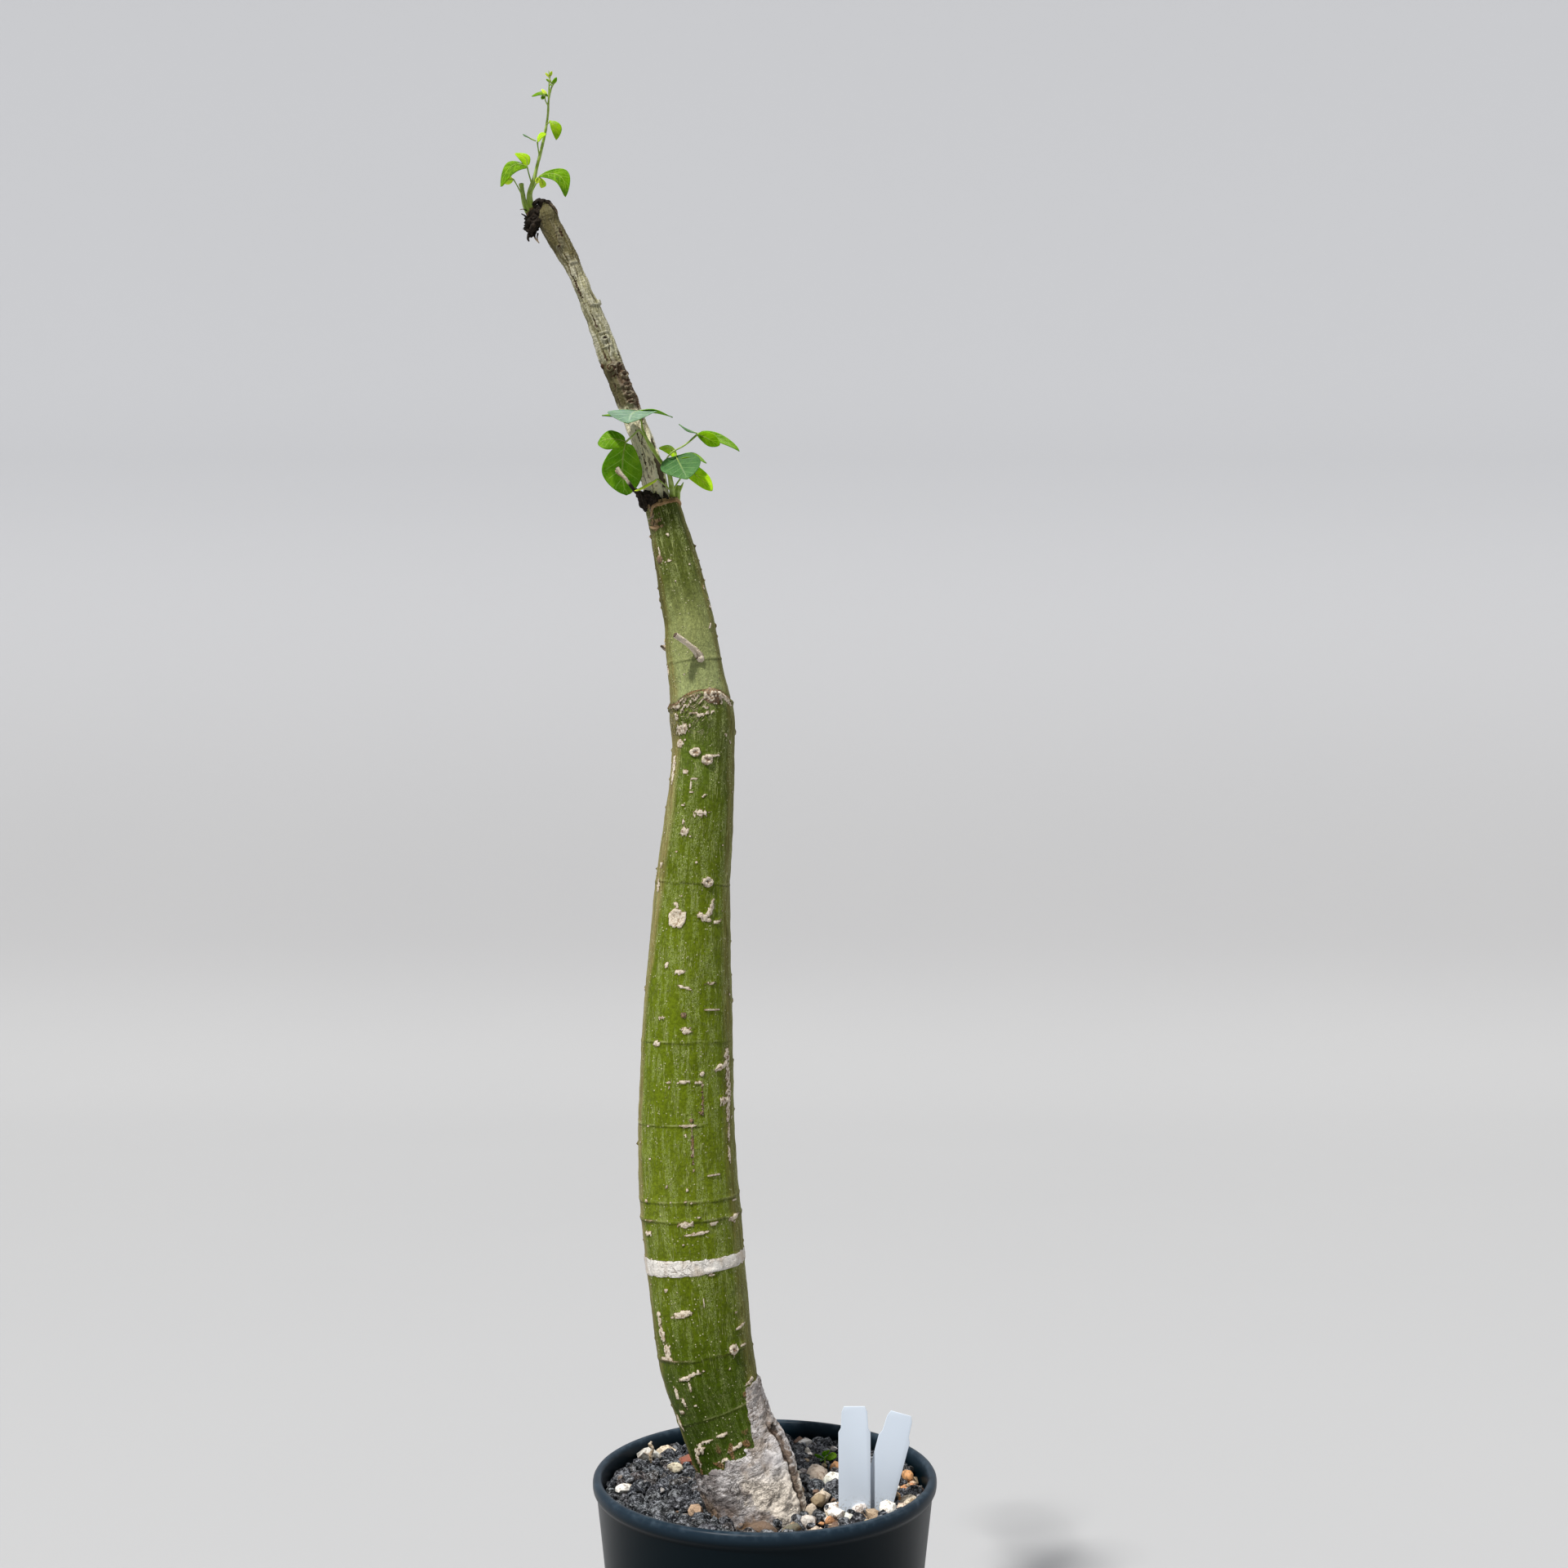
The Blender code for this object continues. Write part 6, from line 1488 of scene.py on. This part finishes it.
for number, (node, (stalk, radius, leaflets)) in enumerate(LEAVES.items()):
    ends = (0, len(stalk) - 1)
    row = [(*point, radius * (1.25 if place in ends else 0.9)) for place, point in enumerate(stalk)]
    petiole = Stem(node + "_stalk", smooth_line(row, 0.5), 14)
    petiole.paint = {"woody": np.zeros(len(petiole.skin))}
    leaf = petiole.finish()
    leaf.data.materials.append(shoot_look)
    parts = [leaf]
    for place, (base, tip, half, peak, bow, face) in enumerate(leaflets):
        parts.append(leaflet("%s_blade_%d" % (node, place), base, tip, half, peak, bow, face,
            3 * number + place))
        start = np.array(base, float)
        end = np.array(tip, float)
        arch = np.array(bow, float)
        rib = []
        for t in (0.0, 0.2, 0.4, 0.6, 0.8):
            rib.append((*(start + (end - start) * t + arch * 4 * t * (1 - t)), 0.30 * (1 - t) + 0.04))
        joint = np.array(stalk[-1], float)
        rib.insert(0, (*(joint + (start - joint) * 0.2), 0.36))
        vein = Stem("%s_rib_%d" % (node, place), smooth_line(rib, 0.8), 8)
        vein.paint = {"woody": np.zeros(len(vein.skin))}
        vein = vein.finish()
        vein.data.materials.append(shoot_look)
        parts.append(vein)
    select_only(*parts)
    bpy.ops.object.join()
    leaf = named("leaf_" + node.replace("_leaf", ""))
    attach(leaf, "root")
    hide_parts(node)


# Stray growth. A weed seedling with three small lobed leaves behind the trunk, and a dry
# bit of twig that stands in the grit at the back left.
SEEDLING = [
    ((33.0, 35.0, 150.6), (38.5, 33.0, 151.8), (0.8, 1.6, 1.6)),
    ((32.0, 35.4, 151.2), (33.4, 33.5, 155.0), (2.0, 0.9, 0.3)),
    ((31.0, 35.0, 150.6), (26.6, 33.2, 152.6), (0.6, 1.6, -1.5)),
    ((32.2, 34.2, 150.4), (30.6, 29.8, 150.8), (1.7, 0.5, 1.0)),
]
strays = []
for number, (base, tip, half) in enumerate(SEEDLING):
    strays.append(leaflet("seedling_leaf_%d" % number, base, tip, half, 0.55, (0, 0, 0.4), "under",
        300 + number))
SEEDLING_LINE = [(32.4, 35.4, 145.0, 0.5), (32.2, 35.2, 149.0, 0.45), (32.2, 35.0, 151.2, 0.5)]
seedling_stem = Stem("seedling_stem", smooth_line(SEEDLING_LINE, 0.5), 10)
seedling_stem.paint = {"woody": np.zeros(len(seedling_stem.skin))}
strays.append(seedling_stem.finish())
strays[-1].data.materials.append(shoot_look)
select_only(*strays)
bpy.ops.object.join()
seedling = named("weed_seedling")
TWIG_LINE = [
    (-62.0, 40.0, 146.0, 0.8), (-62.6, 39.6, 150.6, 0.9), (-61.6, 39.4, 153.6, 0.8),
    (-62.8, 39.2, 156.2, 1.0),
    (-62.2, 39.2, 158.0, 0.4),
]
bit = Stem("dry_twig_bit", smooth_line(TWIG_LINE, 0.5), 12)
bit.rise += 0.35 * ripple(bit.skin, 2.2, 321)
bit.paint = {"cork": 0.5 + 0.5 * ripple(bit.skin, 3, 322), "dark": np.zeros(len(bit.skin)),
    "char": np.zeros(len(bit.skin))}
twig_bit = bit.finish()
twig_bit.data.materials.append(dead_look)
for piece in (seedling, twig_bit):
    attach(piece, "root")
    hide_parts("substrate")


# Labels. Two flat tags of white plastic, cut from sheet with a narrower head and pushed into
# the grit, one upright and one leaning. Both are bare.
LABEL_SHAPE = [
    (0, 0), (8.2, 12), (8.2, 82), (7.0, 84.2), (6.6, 92.2), (5.4, 95), (-5.4, 95), (-6.6, 92.2),
    (-7.0, 84.2), (-8.2, 82), (-8.2, 12),
]
# Each label: its foot, and how far it leans to the right and to the back in degrees
LABELS = {
    "label_upright": ((46.0, -34.5, 103.0), 0.0, 4.0),
    "label_leaning": ((44.7, -31.4, 101.9), 15.5, 4.0),
}
LABEL_THICKNESS = 0.0009
LABEL_BEVEL = 0.00022

LABEL_GREY = (0.530, 0.598, 0.685)
LABEL_WHITE = (0.565, 0.625, 0.703)
LABEL_SPECK = (0.60, 0.60, 0.58)
SOIL_BROWN = (0.22, 0.19, 0.15)
label_look, shader, flow = new_look("white_label_plastic", 0.36, 0.45)
spot = places(flow)
level = spot.part("Z")
cloud = spot.noise(45, 3)
specks = spot.noise(900, 3, 0.6)
soil = level.step(0.155, 0.146) * specks.step(0.50, 0.62)
tone = cloud.blend(LABEL_GREY, LABEL_WHITE)
tone = (specks.step(0.72, 0.80) * 0.12).blend(tone, LABEL_SPECK)
(soil * 0.5).blend(tone, SOIL_BROWN).feed(shader, "Base Color")
(0.30 + 0.16 * cloud + 0.3 * soil).feed(shader, "Roughness")
carved(flow, cloud + 0.25 * specks, 0.00012, 0.5).feed(shader, "Normal")

for name, (foot, lean, back) in LABELS.items():
    bpy.ops.mesh.primitive_circle_add(vertices=len(LABEL_SHAPE), radius=0.01, fill_type="NGON",
        calc_uvs=False, location=(0, 0, 0))
    tag = named("plant_" + name)
    turn = math.radians(lean)
    tilt = math.radians(back)
    right = np.array((math.cos(turn), 0, -math.sin(turn)))
    up = np.array((math.sin(turn) * math.cos(tilt), math.sin(tilt), math.cos(turn) * math.cos(tilt)))
    write_points(tag, np.array([np.array(foot) + right * u + up * v for u, v in LABEL_SHAPE]) / 1000)
    select_only(tag)
    wall = tag.modifiers.new("thickness", "SOLIDIFY")
    wall.thickness = LABEL_THICKNESS
    wall.offset = 0
    bpy.ops.object.modifier_apply(modifier=wall.name)
    edge = tag.modifiers.new("edge", "BEVEL")
    edge.width = LABEL_BEVEL
    edge.segments = 3
    edge.angle_limit = math.radians(40)
    bpy.ops.object.modifier_apply(modifier=edge.name)
    bpy.ops.object.shade_smooth_by_angle(angle=math.radians(35))
    tag.data.materials.append(label_look)
    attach(tag, "root")
    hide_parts(name)


# Room. A pale floor that sweeps up in a round bend into a pale backdrop, well behind the
# plant. Both are one sheet of matt paper.
FLOOR_SIDE = 8.0
BEND_START = 2.0
BEND = 1.2
SWEEP = [(-FLOOR_SIDE, 0.0), (BEND_START, 0.0)]
for turn in np.radians(range(5, 91, 5)):
    SWEEP.append((BEND_START + BEND * math.sin(turn), BEND - BEND * math.cos(turn)))
SWEEP.append((3.2, 3.2))
BACK_LOW = (0.316, 0.317, 0.324)
BACK_HIGH = (0.575, 0.583, 0.606)
FLOOR_GREY = (0.350, 0.352, 0.358)
CLOUD_GREY = (0.50, 0.49, 0.48)
bpy.ops.mesh.primitive_grid_add(x_subdivisions=1, y_subdivisions=len(SWEEP) - 1, size=1,
    location=(0, 0, 0))
paper = named("floor_and_backdrop")
write_points(paper, [(side, back, up - 0.0005) for back, up in SWEEP
    for side in (-FLOOR_SIDE, FLOOR_SIDE)])
select_only(paper)
bpy.ops.object.shade_smooth()
paper_look, shader, flow = new_look("pale_paper", 0.9, 0.1)
spot = places(flow)
level = spot.part("Z")
cloud = spot.noise(1.6, 4)
tone = level.step(0.20, 1.4).blend(BACK_LOW, BACK_HIGH)
tone = level.step(0.25, 0.02).blend(tone, FLOOR_GREY)
(cloud * 0.08).blend(tone, CLOUD_GREY).feed(shader, "Base Color")
paper.data.materials.append(paper_look)
paper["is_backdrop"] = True


# Light and camera. One soft light from high up in front, a weaker one from behind for the
# leaves, and a pale room all round. The camera stands level, 1.07 m off and 0.52 m up.
def sun(name, toward, angle, power, colour=(1, 1, 1)):
    """A light from far off, with its angle of softness in degrees."""
    light = bpy.data.lights.new(name, "SUN")
    light.angle = math.radians(angle)
    light.energy = power
    light.color = colour
    thing = bpy.data.objects.new(name, light)
    bpy.context.scene.collection.objects.link(thing)
    thing.rotation_euler = Vector(toward).to_track_quat("Z", "Y").to_euler()


ROOM_COLOUR = (0.86, 0.89, 0.94, 1)
ROOM_STRENGTH = 0.34
sun("key", (-0.31, -0.38, 0.871), 4, 4.7, (1.0, 0.985, 0.96))
sun("left", (-0.85, 0.10, 0.50), 40, 0.35)
sun("right", (0.85, 0.10, 0.50), 40, 0.50)
sun("back", (0.15, 0.62, 0.77), 24, 0.7)
world = bpy.data.worlds.new("room")
world.use_nodes = True
world.node_tree.nodes["Background"].inputs["Color"].default_value = ROOM_COLOUR
world.node_tree.nodes["Background"].inputs["Strength"].default_value = ROOM_STRENGTH
bpy.context.scene.world = world
bpy.context.scene.view_settings.view_transform = "Standard"

LENS = 46.7
SENSOR_WIDTH = 36
CAMERA_PLACE = (0.010, -1.068, 0.516)
camera = bpy.data.objects.new("camera", bpy.data.cameras.new("camera"))
camera.data.lens = LENS
camera.data.sensor_width = SENSOR_WIDTH
camera.location = CAMERA_PLACE
camera.rotation_euler = (math.radians(90), 0, 0)
bpy.context.scene.collection.objects.link(camera)
bpy.context.scene.camera = camera

low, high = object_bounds()
